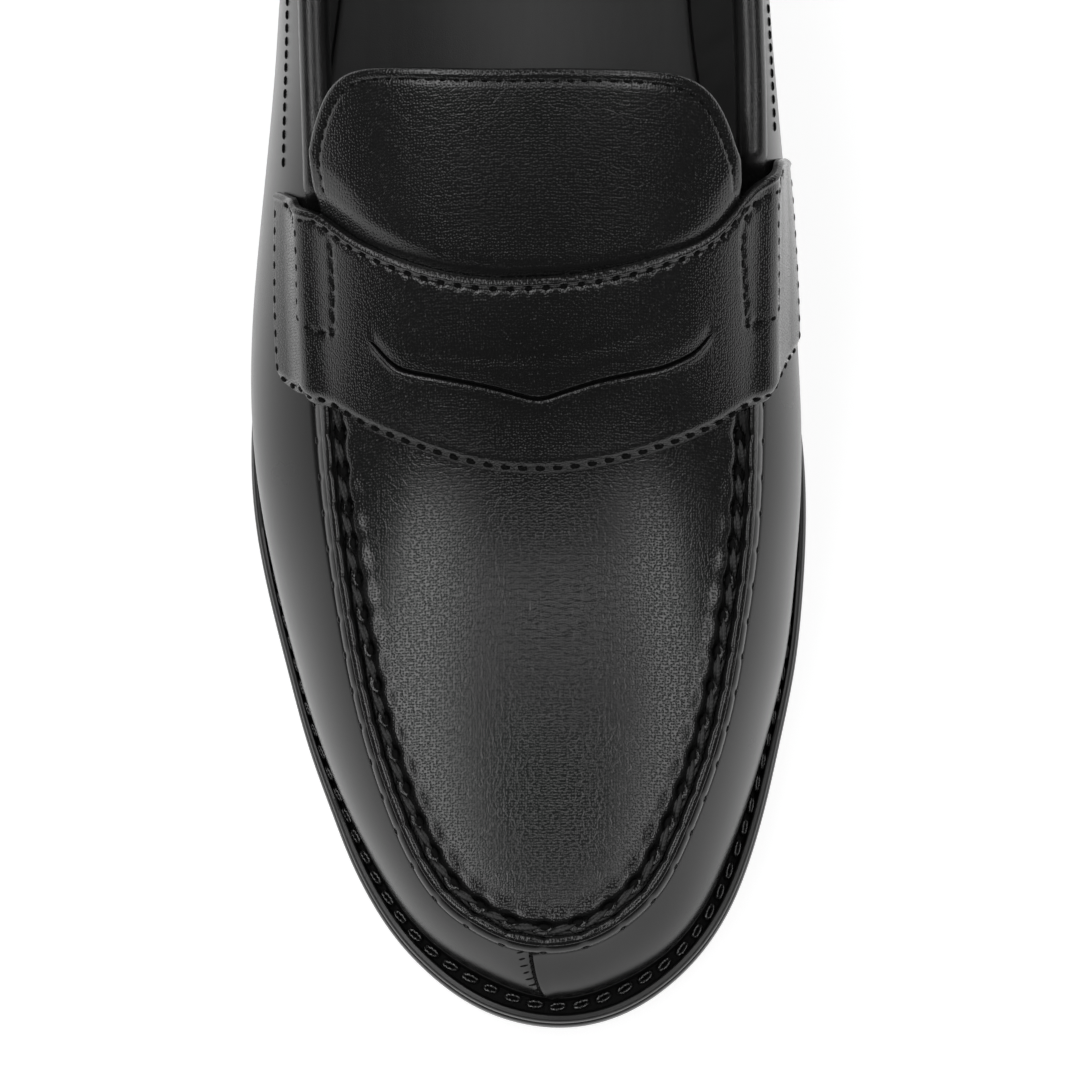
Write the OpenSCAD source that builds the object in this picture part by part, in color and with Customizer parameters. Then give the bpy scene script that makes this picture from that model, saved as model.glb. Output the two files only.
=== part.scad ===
// Penny loafer, right foot: apron-front upper with a saddle strap, welted leather sole, stacked heel.
// Frame: toe towards -Y, heel towards +Y, inner (arch) side towards +X, +Z up, ground at z = 0.

/* [Sole] */
// Thickness of the outsole
outsole_t = 5.0; // [4:0.5:6]
// Thickness of the welt that shows round the forepart
welt_t = 3.2; // [2.6:0.2:3.6]
// Thickness of the rubber top piece of the heel
top_piece_t = 6.0; // [4:0.5:8]
// Thickness of the insole board
insole_t = 2.4; // [2:0.2:2.6]
// Diameter of the heel nails
nail_d = 2.4; // [1.6:0.2:3]

/* [Upper] */
// Thickness of the upper leather
leather_t = 1.5; // [1.2:0.1:1.5]
// Thickness of the lining leather
lining_t = 0.9; // [0.6:0.1:1]
// Height of the rolled binding above the top line
binding_h = 3.8; // [3:0.2:4]
// Width of the rolled binding
binding_w = 5.2; // [4:0.2:5.4]
// Height of the pinched ridge round the apron
ridge_h = 2.0; // [1.4:0.2:2.4]

/* [Saddle strap] */
// Thickness of the strap leather
strap_t = 1.4; // [1:0.1:1.6]
// Width of the coin slit
slit_w = 1.0; // [0.8:0.2:2]

/* [Tongue] */
// Distance from the toe tip to the free edge of the tongue
tongue_end = 157; // [150:1:160]
// Half width of the tongue
tongue_hw = 37; // [34:0.5:38.5]

/* [Hidden] */

YO = 151;                       // the toe tip lies this far in front of the origin
zf0 = outsole_t + welt_t;       // upper stands on the welt

// Height of the outsole's underside along the shoe: [distance from toe, height]
PB = [[0,11],[12,8.8],[25,6.4],[40,4],[55,2],[70,0.6],[85,0],[115,0],[130,0.8],[150,3.6],[170,7.6],[190,12.2],
      [210,16.8],[230,20.8],[250,23.6],[275,25.4],[302,26.4]];
// Crest of the apron and instep: [distance, height, centre x, k2 x 1000, k4 x 1e6]
SP = [[10,34.6,4.5,9,0],[20,37.2,3.8,7,0.2],[32,39.4,3.6,5.2,0.6],[45,41.6,3.5,4.2,0.9],[60,44.6,3.2,3.6,1.1],
      [75,48.4,2.8,3.6,1.5],[90,53.4,2.5,4.2,2],[105,61,2.2,5.6,2.6],[118,69.6,2,6.4,3.2],[130,77.4,1.8,6.6,3.6],
      [145,86.6,1.8,6.4,4.4],[160,95,1.8,6.4,6],[175,101,1.8,6.4,6]];
// Stations round the shoe, from the toe along the outer side to the heel and back along the inner side.
// Foot of the wall x, distance; welt beyond it; top of the wall x, distance, height (0 = on the crest surface);
// bulge low out, up; bulge high out, down.
ST = [
 [5,5.6,5.1,5.5,12.4,0,1,5,3,6],[-6,8.8,5.5,-2.5,13.2,0,1,5,3,6],[-16,15,4.7,-9.5,16.4,0,1.2,5,3.2,6],
 [-23.2,22.8,4.2,-15.6,21.2,0,1.2,6,3.5,6],[-29,32.6,3.9,-21,29.2,0,1.4,6,4,6.5],[-33.8,42.5,3.2,-26,41,0,1.6,7,4.5,7],
 [-38.8,55,2.8,-30.2,55,0,1.8,8,5,7],[-43.3,70,2.6,-33.3,70,0,2.2,9,6,7.5],[-47,85,2.8,-35.7,85,0,2.8,10,7,8],
 [-49.4,100,3.2,-37.4,100,0,4,11,9,9],[-50.2,115,3.2,-38.3,115,0,5.4,12,10.4,10.5],[-49.4,130,3,-38.7,130,0,6.4,13,10.5,12],
 [-47.4,145,2.6,-38.9,145,0,7.2,14,9.4,14],[-45,160,2.2,-39.3,160,68,7.4,15,8.3,15],[-42.6,175,2,-40,175,67.6,7.7,15,7.3,16],
 [-40.4,190,1.8,-40.4,190,68.2,7.8,15,6.7,17],[-38.4,205,1.8,-40,205,69.8,7,15,5.6,18],[-36.6,220,1.8,-38.4,220,72.4,6.6,15,5.6,19],
 [-35.2,236,1.9,-35.2,236,76.4,6,15,5.8,20],[-34,252,2,-30.6,252,81.2,5.4,15,6.4,20],[-31.6,268,2,-24.8,266.5,86.2,5,15,7,20],
 [-26,283,2,-17.6,279.5,91,4.8,15,7.4,20],[-15.4,293.8,2,-9.2,288.4,94.4,4.4,15,7.8,20],[0,297.6,2,0,291,95.6,4.2,15,8,20],
 [15.2,293.8,2,9.2,288.4,94.4,4.4,15,7.8,20],[25.8,283,2,17.6,279.5,91,4.8,15,7.4,20],[31.4,268,2,24.8,266.5,86.2,5,15,7,20],
 [33.8,252,2,30.6,252,81.4,5.4,15,6.4,20],[34.4,236,1.9,35.2,236,76.8,6.2,15,5.8,20],[34.2,220,1.8,38.6,220,73,7.6,16,5.6,19],
 [34.2,205,1.8,40.6,205,70.4,8.8,17,5.6,18],[35.2,190,1.8,41.4,190,68.8,9.4,18,5.6,17],[37.6,175,1.9,41.8,175,68.2,9,18,6,16],
 [41,160,2.2,42,160,68.6,8,17,6.6,15],[44.6,145,2.6,42.2,145,0,7,15,7.4,14],[47.8,130,3,42.4,130,0,5.6,14,7.8,12],
 [50,115,3.2,42.7,115,0,4.4,13,7.2,10.5],[50.6,100,3.2,42.6,100,0,3.4,12,6.5,9],[49.9,85,3.1,41.7,85,0,2.6,11,5.5,8],
 [48.2,70,3,39.6,70,0,2.2,10,5,7.5],[45,56,3.2,37,56,0,1.8,8,4.5,7],[41.2,43,3.8,33.2,43,0,1.6,7,4.2,7],
 [36.6,30.6,4.4,28.4,31.2,0,1.4,6,4,6.5],[31.6,20.8,4.5,24,23.2,0,1.2,6,3.6,6],[24.6,13.2,4.9,18.4,17.6,0,1.2,5,3.3,6],
 [15.2,7.8,5.5,12.4,14,0,1,5,3,6]];
NS = len(ST);
// Edges of the saddle strap: [across -2..2 (1 = top of the wall, 2 = end), front distance, rear distance]
SE = [[-2,115.6,147],[-1.5,112.8,145],[-1,110.4,142.2],[-0.75,103.6,133.8],[-0.5,98.8,128.6],[-0.25,95.8,126.2],[0,95,126],
      [0.25,96.1,127.1],[0.5,98.9,129.9],[0.75,103.5,135.3],[1,110.8,147.6],[1.5,117.3,152.2],[2,122.4,155]];
// The coin slit across the strap: [x, distance from the toe]
SLIT = [[-26.5,119.5],[-24.8,116.5],[-22.6,113.4],[-18.5,112.2],[-13,111],[-5.6,109.4],[2.2,107.3],[7.2,108.9],[12.4,110.5],[23.4,113],
        [30.2,116.4],[31.6,119],[32.2,121.6]];

// ---- curves and surfaces ----
function seg(t,x,i=0) = (i >= len(t)-2 || x < t[i+1][0]) ? i : seg(t,x,i+1);
function tgt(t,i,c) = let(a=max(0,i-1), b=min(len(t)-1,i+1)) (t[b][c]-t[a][c])/(t[b][0]-t[a][0]);
function cub(t,x0,c) = let(n=len(t), x=min(max(x0,t[0][0]),t[n-1][0]), i=seg(t,x), h=t[i+1][0]-t[i][0], u=(x-t[i][0])/h,
    m0=tgt(t,i,c)*h, m1=tgt(t,i+1,c)*h)
    t[i][c]*(2*u*u*u-3*u*u+1)+m0*(u*u*u-2*u*u+u)+t[i+1][c]*(3*u*u-2*u*u*u)+m1*(u*u*u-u*u);
PROF = [for (l=[-4:10:306]) [l, max(0,cub(PB,l,1))]];
function zb(l) = lookup(l, PROF);
function Z(x,l) = let(d=x-cub(SP,l,2), q=d*d) cub(SP,l,1)-cub(SP,l,3)*q/1000-cub(SP,l,4)*q*q/1e6;
// the tongue keeps flatter flanks, so that it lies over the collar
function ZT(x,l) = let(d=x-cub(SP,l,2), q=d*d) cub(SP,l,1)-cub(SP,l,3)*q/1000-min(2.3,cub(SP,l,4))*q*q/1e6;
S2 = [for (r=ST) r[5]==0 ? [r[0],r[1],r[2],r[3],r[4],Z(r[3],r[4]),r[6],r[7],r[8],r[9]] : r];
function wr(i) = ((i % NS) + NS) % NS;
function cr(s) = let(i=floor(s), u=s-i, p0=S2[wr(i-1)], p1=S2[wr(i)], p2=S2[wr(i+1)], p3=S2[wr(i+2)])
    0.5*(2*p1+(p2-p0)*u+(2*p0-5*p1+4*p2-p3)*u*u+(3*p1-p0-3*p2+p3)*u*u*u);
function unit(v) = norm(v) < 1e-9 ? [0,0,1] : v/norm(v);
function on(s) = let(a=cr(s-0.01), b=cr(s+0.01), d=[b[0]-a[0], b[1]-a[1]], n=norm(d)) [-d[1]/n, d[0]/n];
function V(x,l,z) = [x, l-YO, z];
// point of the wall: s round the shoe, t from the welt (0) to the top line (1)
function wall(s,t) = let(r=cr(s), n=on(s), O=[r[0],r[1],zb(r[1])+zf0+0.15], T=[r[3],r[4],r[5]],
    P1=O+[n[0]*r[6],n[1]*r[6],r[7]], P2=T+[n[0]*r[8],n[1]*r[8],-r[9]], w=1-t,
    P=O*w*w*w+P1*3*w*w*t+P2*3*w*t*t+T*t*t*t) V(P[0],P[1],P[2]);
function foot(s,o) = let(r=cr(s), n=on(s)) [r[0]+n[0]*o, r[1]-YO+n[1]*o];
function edge_pt(s,o=0) = let(r=cr(s), n=on(s)) [r[0]+n[0]*(r[2]+o), r[1]-YO+n[1]*(r[2]+o)];
// top rail, shifted inwards by o, on the crest surface
function rail(s,o) = let(a=cr(s-0.02), b=cr(s+0.02), r=cr(s), d=[b[3]-a[3],b[4]-a[4]], n=norm(d)) [r[3]+d[1]/n*o, r[4]-d[0]/n*o];
function sL(side,l) = side < 0 ? 8+(l-85)/15 : 38-(l-85)/15;
// whole cross section at distance l: v -2..-1 outer wall, -1..1 crest, 1..2 inner wall
function te(v) = v < 0 ? 0.79 : 0.6;   // how far down the wall the strap's ends reach
function across(v,l) = abs(v) <= 1 ?
      let(a=cr(sL(-1,l)), b=cr(sL(1,l)), x=a[3]+(b[3]-a[3])*(v+1)/2) V(x,l,Z(x,l))
    : wall(sL(v,l), 1-(abs(v)-1)*(1-te(v)));

// ---- meshes ----
function gn(G,i,j) = let(n=len(G), m=len(G[0])) unit(cross(G[i][min(j+1,m-1)]-G[i][max(j-1,0)], G[min(i+1,n-1)][j]-G[max(i-1,0)][j]));
function goff(G,o) = [for (i=[0:len(G)-1]) [for (j=[0:len(G[0])-1]) G[i][j]+gn(G,i,j)*o]];
module skin(A,B) {
  n=len(A); m=len(A[0]); K=n*m;
  function p(i,j)=i*m+j; function q(i,j)=K+i*m+j;
  polyhedron(points=concat([for(r=A) each r],[for(r=B) each r]), faces=concat(
    [for(i=[0:n-2],j=[0:m-2]) each [[p(i,j),p(i+1,j),p(i+1,j+1)],[p(i,j),p(i+1,j+1),p(i,j+1)],
                                    [q(i,j),q(i+1,j+1),q(i+1,j)],[q(i,j),q(i,j+1),q(i+1,j+1)]]],
    [for(j=[0:m-2]) each [[p(0,j),p(0,j+1),q(0,j+1)],[p(0,j),q(0,j+1),q(0,j)],
                          [p(n-1,j+1),p(n-1,j),q(n-1,j)],[p(n-1,j+1),q(n-1,j),q(n-1,j+1)]]],
    [for(i=[0:n-2]) each [[p(i+1,0),p(i,0),q(i,0)],[p(i+1,0),q(i,0),q(i+1,0)],
                          [p(i,m-1),p(i+1,m-1),q(i+1,m-1)],[p(i,m-1),q(i+1,m-1),q(i,m-1)]]]), convexity=6);
}
module slab(G,o1,o2) { skin(goff(G,o2), goff(G,o1)); }
// rings swept along a path, closed at both ends
module rings(R) {
  n=len(R); m=len(R[0]);
  function p(i,j)=i*m+(j%m);
  polyhedron(points=[for(r=R) each r], faces=concat(
    [for(i=[0:n-2],j=[0:m-1]) each [[p(i,j),p(i+1,j+1),p(i,j+1)],[p(i,j),p(i+1,j),p(i+1,j+1)]]],
    [[for(j=[0:m-1]) j]], [[for(j=[m-1:-1:0]) (n-1)*m+j]]), convexity=6);
}
// round thread along points P, lying on side N
module thread(P,r,k=5) {
  n=len(P);
  rings([for(i=[0:n-1]) let(t=unit(P[min(i+1,n-1)]-P[max(i-1,0)]), u=abs(t[2])>0.9?[1,0,0]:[0,0,1], b=unit(cross(t,u)), c=cross(b,t))
     [for(j=[0:k-1]) P[i]+r*(cos(360*j/k)*c+sin(360*j/k)*cross(t,c))]]);
}
function lin(a,b,n) = [for(i=[0:n]) a+(b-a)*i/n];

// ---- sole unit ----
SSTEP = 0.25;
module plan(o) { polygon([for(s=[0:SSTEP:NS-SSTEP]) edge_pt(s,o)]); }
module planfoot(o) { polygon([for(s=[0:SSTEP:NS-SSTEP]) foot(s,o)]); }
// a slice of the side profile between two heights above the outsole's underside
module band(h0,h1,l0=-4,l1=306) {
  K=[for(r=PROF) if(r[0]>l0+0.5 && r[0]<l1-0.5) r[0]];
  L=concat([l0],K,[l1]);
  n=len(L);
  translate([-80,0,0]) rotate([90,0,90]) linear_extrude(160)
    polygon(concat([for(i=[0:n-1]) [L[i]-YO, zb(L[i])+h0]], [for(i=[n-1:-1:0]) [L[i]-YO, zb(L[i])+h1]]));
}
module column(z0,z1) { translate([0,0,z0]) linear_extrude(z1-z0) children(); }
breast = 226;
module heel_plan(o) { intersection() { plan(o); translate([-60,breast-YO+0.2]) square([120,100]); } }
module outsole() { color([0.05,0.05,0.05]) intersection() { column(-1,60) plan(0); band(0,outsole_t-0.05); } }
module welt() { color([0.07,0.07,0.07]) intersection() { column(-1,60) difference() { plan(-0.5); planfoot(-3.4); } band(outsole_t,zf0,-4,breast); } }
module heel_rand() { color([0.06,0.06,0.06]) intersection() { column(-1,60) difference() { plan(-0.5); planfoot(-3.4); } band(outsole_t,zf0,breast+0.2,306); } }
module lift(z0,z1,o,g=0.55) { color([0.05,0.05,0.05]) column(z0,z1) heel_plan(o); }
module heel_top_piece() { color([0.04,0.04,0.04]) difference() { column(0,top_piece_t) heel_plan(-0.3);
    for(p=nails) translate([p[0],p[1]-YO,-1]) cylinder(d=nail_d,h=4,$fn=24); } }
nails = [[-20,240],[-23,258],[-18,276],[0,288],[18,276],[23,258],[20,240]];
module heel_nails() { color([0.7,0.6,0.35]) for(p=nails) translate([p[0],p[1]-YO,0.1]) cylinder(d=nail_d,h=2.9,$fn=24); }
module heel_lift_lower() { lift(top_piece_t+0.05,top_piece_t+5.3,-0.2); }
module heel_lift_middle() { lift(top_piece_t+5.35,top_piece_t+10.6,-0.2); }
module heel_lift_upper() { color([0.05,0.05,0.05]) intersection() { column(top_piece_t+10.65,40) heel_plan(-0.2); band(-30,-0.05,breast+0.1,306); } }
module cork_filler() { color([0.65,0.5,0.35]) difference() {
    intersection() { column(-1,60) planfoot(-3.6); band(outsole_t,zf0-0.15,14,289); }
    intersection() { translate([-9,128-YO,-5]) cube([18,122,60]); band(outsole_t-0.5,zf0+1); } } }
module shank() { color([0.6,0.62,0.65]) intersection() { translate([-7,130-YO,-5]) cube([14,118,60]); band(outsole_t+0.6,outsole_t+2.4,131,247); } }
module insole_board() { color([0.7,0.6,0.45]) intersection() { column(-1,70) planfoot(-4.4); band(zf0-0.05,zf0+insole_t-0.05); } }
module sock_lining() { color([0.12,0.12,0.13]) intersection() { column(-1,70) planfoot(-4.9); band(zf0+insole_t,zf0+insole_t+0.9); } }
module welt_stitching() { color([0.2,0.2,0.2])
    for (run=[[0.02,17.3],[29.0,NS-0.02]]) thread([for(s=lin(run[0],run[1],64)) let(r=cr(s), e=foot(s,r[2]*0.42)) [e[0],e[1],zb(e[1]+YO)+zf0+0.45]],0.34,4); }

// ---- upper ----
function wg(s0,s1,ns,t0,t1,nt) = [for(s=lin(s0,s1,ns)) [for(t=lin(t0,t1,nt)) wall(s,t)]];
sq = 8+(128-85)/15;  sqm = NS-1-sq+1;   // joint between vamp and quarter, under the strap
sMq = 38-(128-85)/15;
module vamp_lateral() { color([0.1,0.1,0.1]) slab(wg(0.06,sq-0.01,26,0,0.985,7),-leather_t,0); }
module vamp_medial() { color([0.1,0.1,0.1]) slab(wg(sMq+0.01,NS+0.03,26,0,0.985,7),-leather_t,0); }
module quarter_lateral() { color([0.11,0.11,0.11]) slab(wg(sq+0.01,22.97,26,0,1,8),-leather_t,0); }
module quarter_medial() { color([0.11,0.11,0.11]) slab(wg(23.03,sMq-0.01,26,0,1,8),-leather_t,0); }
module back_strap() { color([0.09,0.09,0.09]) slab(wg(22.5,23.5,8,0.02,1,10),0.15,1.25); }
module toe_puff() { color([0.8,0.8,0.75]) slab(wg(NS-4.6,NS+4.6,22,0.02,0.95,4),-leather_t-0.85,-leather_t-0.2); }
module heel_counter() { color([0.8,0.75,0.65]) slab(wg(18.2,27.8,28,0.02,0.72,6),-leather_t-0.8,-leather_t-0.25); }
li = leather_t+1.1;
module vamp_lining() { color([0.12,0.12,0.13]) slab(wg(sMq+0.02,NS+sq-0.02,40,0,0.95,5),-li-lining_t,-li); }
module quarter_lining_lateral() { color([0.12,0.12,0.13]) slab(wg(sq+0.02,22.92,26,0,1,6),-li-lining_t,-li); }
module quarter_lining_medial() { color([0.12,0.12,0.13]) slab(wg(23.08,sMq-0.02,26,0,1,6),-li-lining_t,-li); }
module heel_grip() { color([0.15,0.15,0.16]) slab(wg(20.4,25.6,20,0.06,0.97,7),-li-lining_t-1.1,-li-lining_t-0.4); }

// the apron: rows from the toe arc to the line under the strap
aL = 112; aS = 3.4;
function coons(a,w,o) = let(g=(w+1)/2,
   c0=rail(aS-(aS*2)*g,o), lx=rail(sL(-1,aL),o), rx=rail(sL(1,aL),o), c1=lx+(rx-lx)*g,
   d0=rail(aS+(sL(-1,aL)-aS)*a,o), d1=rail(NS-aS+(sL(1,aL)-NS+aS)*a,o), k00=rail(aS,o), k01=rail(-aS,o))
   c0*(1-a)+c1*a+d0*(1-g)+d1*g-(k00*(1-a)*(1-g)+k01*(1-a)*g+lx*a*(1-g)+rx*a*g);
function ag(na,nw,o) = [for(a=lin(0,1,na)) [for(w=lin(-1,1,nw)) let(p=coons(a,w,o)) V(p[0],p[1],Z(p[0],p[1]))]];
module apron() { color([0.08,0.08,0.08]) slab(ag(20,20,2.7),-leather_t,0); }
module apron_lining() { color([0.12,0.12,0.13]) slab(ag(14,14,4.6),-li-lining_t,-li); }
RS = lin(sL(1,106)-NS,sL(-1,106),70);
module apron_ridge() { color([0.08,0.08,0.08]) rings([for(s=RS) let(a=rail(s,0.15),b=rail(s,2.45),m=rail(s,1.3), za=Z(a[0],a[1]), zi=Z(b[0],b[1]), zm=Z(m[0],m[1]))
     [V(a[0],a[1],za-0.5), V(a[0],a[1],za+ridge_h*0.7), V(m[0],m[1],zm+ridge_h), V(b[0],b[1],zi+ridge_h*0.6), V(b[0],b[1],zi-0.5)]]); }
module apron_stitching() { color([0.15,0.15,0.15]) thread([for(i=[0:96]) let(s=RS[0]+(RS[70]-RS[0])*i/96, p=rail(s,i%2==0?3.3:4.5)) V(p[0],p[1],Z(p[0],p[1])+0.75)],0.5,5); }
module toe_seam_stitching() { color([0.2,0.2,0.2]) thread([for(t=lin(0.04,0.94,14)) let(a=wall(-0.22,t),b=wall(-0.2,t)) a+0.45*unit([0,-1,0.25])],0.3,4); }

// the saddle strap lies over crest and wall
function sg(u0,u1,nu,v0,v1,nv) = [for(u=lin(u0,u1,nu)) [for(v=lin(v0,v1,nv)) let(l=cub(SE,v,1)*(1-u)+cub(SE,v,2)*u) across(v,l)]];
so = 0.95;
module saddle_strap() { color([0.08,0.08,0.08]) difference() { slab(sg(0,1,9,-2,2,44),so,so+strap_t);
    translate([0,-YO,40]) linear_extrude(60) polygon(concat([for(p=SLIT) [p[0],p[1]-slit_w/2]],[for(i=[len(SLIT)-1:-1:0]) [SLIT[i][0],SLIT[i][1]+slit_w/2]])); } }
module strap_backing() { color([0.1,0.1,0.1]) slab(sg(0.05,0.95,7,-1.95,1.95,34),0.25,0.8); }
function onstrap(u,v) = let(h=0.02, l=cub(SE,v,1)*(1-u)+cub(SE,v,2)*u, a=across(v,l), b=across(v+(v>1.9?-h:h),l), c=across(v,l+0.3),
    n=unit(cross(v>1.9?a-b:b-a,c-a))) a+n*(so+strap_t+0.4);
module strap_stitching() { color([0.2,0.2,0.2]) {
    for(u=[0.05,0.93]) thread([for(v=lin(-0.9,0.9,40)) onstrap(u,v)],0.3,4);
    for(q=[-1,1]) thread([for(k=[[0.93,1.9],[0.9,1.6],[0.88,1.3],[0.7,1.22],[0.5,1.2],[0.3,1.2],[0.14,1.1],[0.1,0.98],[0.3,0.94],[0.5,0.93],[0.7,0.93],[0.86,0.93]]) onstrap(k[0],q*k[1])],0.3,4); } }

// the tongue: fixed root under the strap, free flap behind it
function twid(l) = tongue_hw - (l<146 ? (146-l)*0.04 : 0);
function tc(l) = -0.4+(l<149 ? (149-l)*0.12 : 0);
function tl0(v) = cub(SE,0.92*v-0.05,2)+1.3;
function tl1(v) = tongue_end+(v<0?4.5:1.5)*v*v-(v<0?12.5*pow(-v,12):11.5*pow(v,10));
module tongue_base() { color([0.08,0.08,0.08]) slab([for(u=lin(0,1,4)) [for(v=lin(-0.93,0.93,24)) let(l=(aL+0.4)*(1-u)+(cub(SE,v,2)-1.2)*u) across(v,l)]],-leather_t,0); }
function tg2(i,o) = [for(u=lin(0,1,8)) [for(a=lin(-90,90,24)) let(v=sin(a), q=i/tongue_hw, l=(tl0(v)+i*0.3)*(1-u)+(tl1(v)-i)*u, x=tc(l)+v*(twid(l)-i)) V(x,l,ZT(x,l))]];
module tongue() { color([0.08,0.08,0.08]) slab(tg2(0,0),-0.1,leather_t-0.2); }
module tongue_lining() { color([0.12,0.12,0.13]) slab(tg2(0.6,0),-1.0,-0.2); }
module tongue_stitching() { color([0.2,0.2,0.2]) thread([for(a=lin(-78,78,60)) let(v=sin(a), l=tl1(v)-1.6, w=twid(l)-1.6, x=tc(l)+v*w, g=unit([ (ZT(x-1,l)-ZT(x+1,l))/2, (ZT(x,l-1)-ZT(x,l+1))/2, 1])) V(x,l,ZT(x,l))+g*(leather_t+0.2)],0.28,4); }

// rolled binding and the row of stitches below it
SB = lin(sL(-1,143.6),sL(1,149.6),82);
module collar_binding() { color([0.1,0.1,0.1]) rings([for(s=SB) let(r=cr(s), n=on(s), T=V(r[3],r[4],r[5]+0.15), N=[n[0],n[1],0], w=binding_w, h=binding_h)
     [T+N*0.3, T-N*(w-0.3), T-N*(w-0.1)+[0,0,h*0.45], T-N*w*0.82+[0,0,h*0.85], T-N*w*0.45+[0,0,h], T-N*w*0.1+[0,0,h*0.85], T+N*0.55+[0,0,h*0.4]]]); }
module collar_stitching() { color([0.2,0.2,0.2]) thread([for(s=lin(sL(-1,150),22.4,40)) wall(s,0.86)+0.42*[on(s)[0],on(s)[1],0.3]],0.3,4);
     color([0.2,0.2,0.2]) thread([for(s=lin(23.6,sL(1,156),40)) wall(s,0.86)+0.42*[on(s)[0],on(s)[1],0.3]],0.3,4); }

outsole();
welt();
heel_rand();
heel_lift_lower();
heel_lift_middle();
heel_lift_upper();
heel_top_piece();
heel_nails();
welt_stitching();
cork_filler();
shank();
insole_board();
sock_lining();
vamp_lateral();
vamp_medial();
toe_seam_stitching();
quarter_lateral();
quarter_medial();
back_strap();
apron();
apron_ridge();
apron_stitching();
saddle_strap();
strap_backing();
strap_stitching();
tongue_base();
tongue();
tongue_lining();
tongue_stitching();
collar_binding();
collar_stitching();
vamp_lining();
apron_lining();
quarter_lining_lateral();
quarter_lining_medial();
heel_grip();
toe_puff();
heel_counter();
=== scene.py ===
import bpy, bmesh, math
import numpy as np
from mathutils import Vector, Matrix
from mathutils.kdtree import KDTree


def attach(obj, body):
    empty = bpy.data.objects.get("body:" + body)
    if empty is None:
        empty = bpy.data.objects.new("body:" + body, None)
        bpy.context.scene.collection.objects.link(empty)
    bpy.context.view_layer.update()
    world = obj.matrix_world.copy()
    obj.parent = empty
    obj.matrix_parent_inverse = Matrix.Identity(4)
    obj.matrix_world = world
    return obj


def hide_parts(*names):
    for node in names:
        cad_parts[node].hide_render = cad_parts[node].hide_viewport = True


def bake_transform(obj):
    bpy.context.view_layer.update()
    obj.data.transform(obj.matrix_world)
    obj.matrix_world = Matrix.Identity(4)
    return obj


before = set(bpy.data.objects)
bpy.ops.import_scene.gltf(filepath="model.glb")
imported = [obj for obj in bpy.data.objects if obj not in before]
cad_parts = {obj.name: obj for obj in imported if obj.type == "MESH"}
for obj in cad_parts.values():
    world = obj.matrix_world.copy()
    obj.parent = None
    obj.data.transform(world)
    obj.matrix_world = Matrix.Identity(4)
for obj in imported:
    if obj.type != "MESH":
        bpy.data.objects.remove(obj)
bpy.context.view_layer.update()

# Penny loafer, right shoe. All shapes below are worked out in millimetres and scaled to metres when a mesh is made.
# x: inner side positive, l: distance from the toe tip (y = l - YO), z: up.
MM = 0.001
YO = 151.0
rng = np.random.default_rng(7)

# ------------------------------------------------------------------ design tables (same as the CAD source)
OUT_T, WELT_T, TOP_T = 5.0, 3.2, 6.0
ZF0 = OUT_T + WELT_T
BREAST = 226.0
PB = [[0,11],[12,8.8],[25,6.4],[40,4],[55,2],[70,0.6],[85,0],[115,0],[130,0.8],[150,3.6],[170,7.6],[190,12.2],
      [210,16.8],[230,20.8],[250,23.6],[275,25.4],[302,26.4]]
SP = [[10,34.6,4.5,9,0],[20,37.2,3.8,7,0.2],[32,39.4,3.6,5.2,0.6],[45,41.6,3.5,4.2,0.9],[60,44.6,3.2,3.6,1.1],
      [75,48.4,2.8,3.6,1.5],[90,53.4,2.5,4.2,2],[105,61,2.2,5.6,2.6],[118,69.6,2,6.4,3.2],[130,77.4,1.8,6.6,3.6],
      [145,86.6,1.8,6.4,4.4],[160,95,1.8,6.4,6],[175,101,1.8,6.4,6]]
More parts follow.
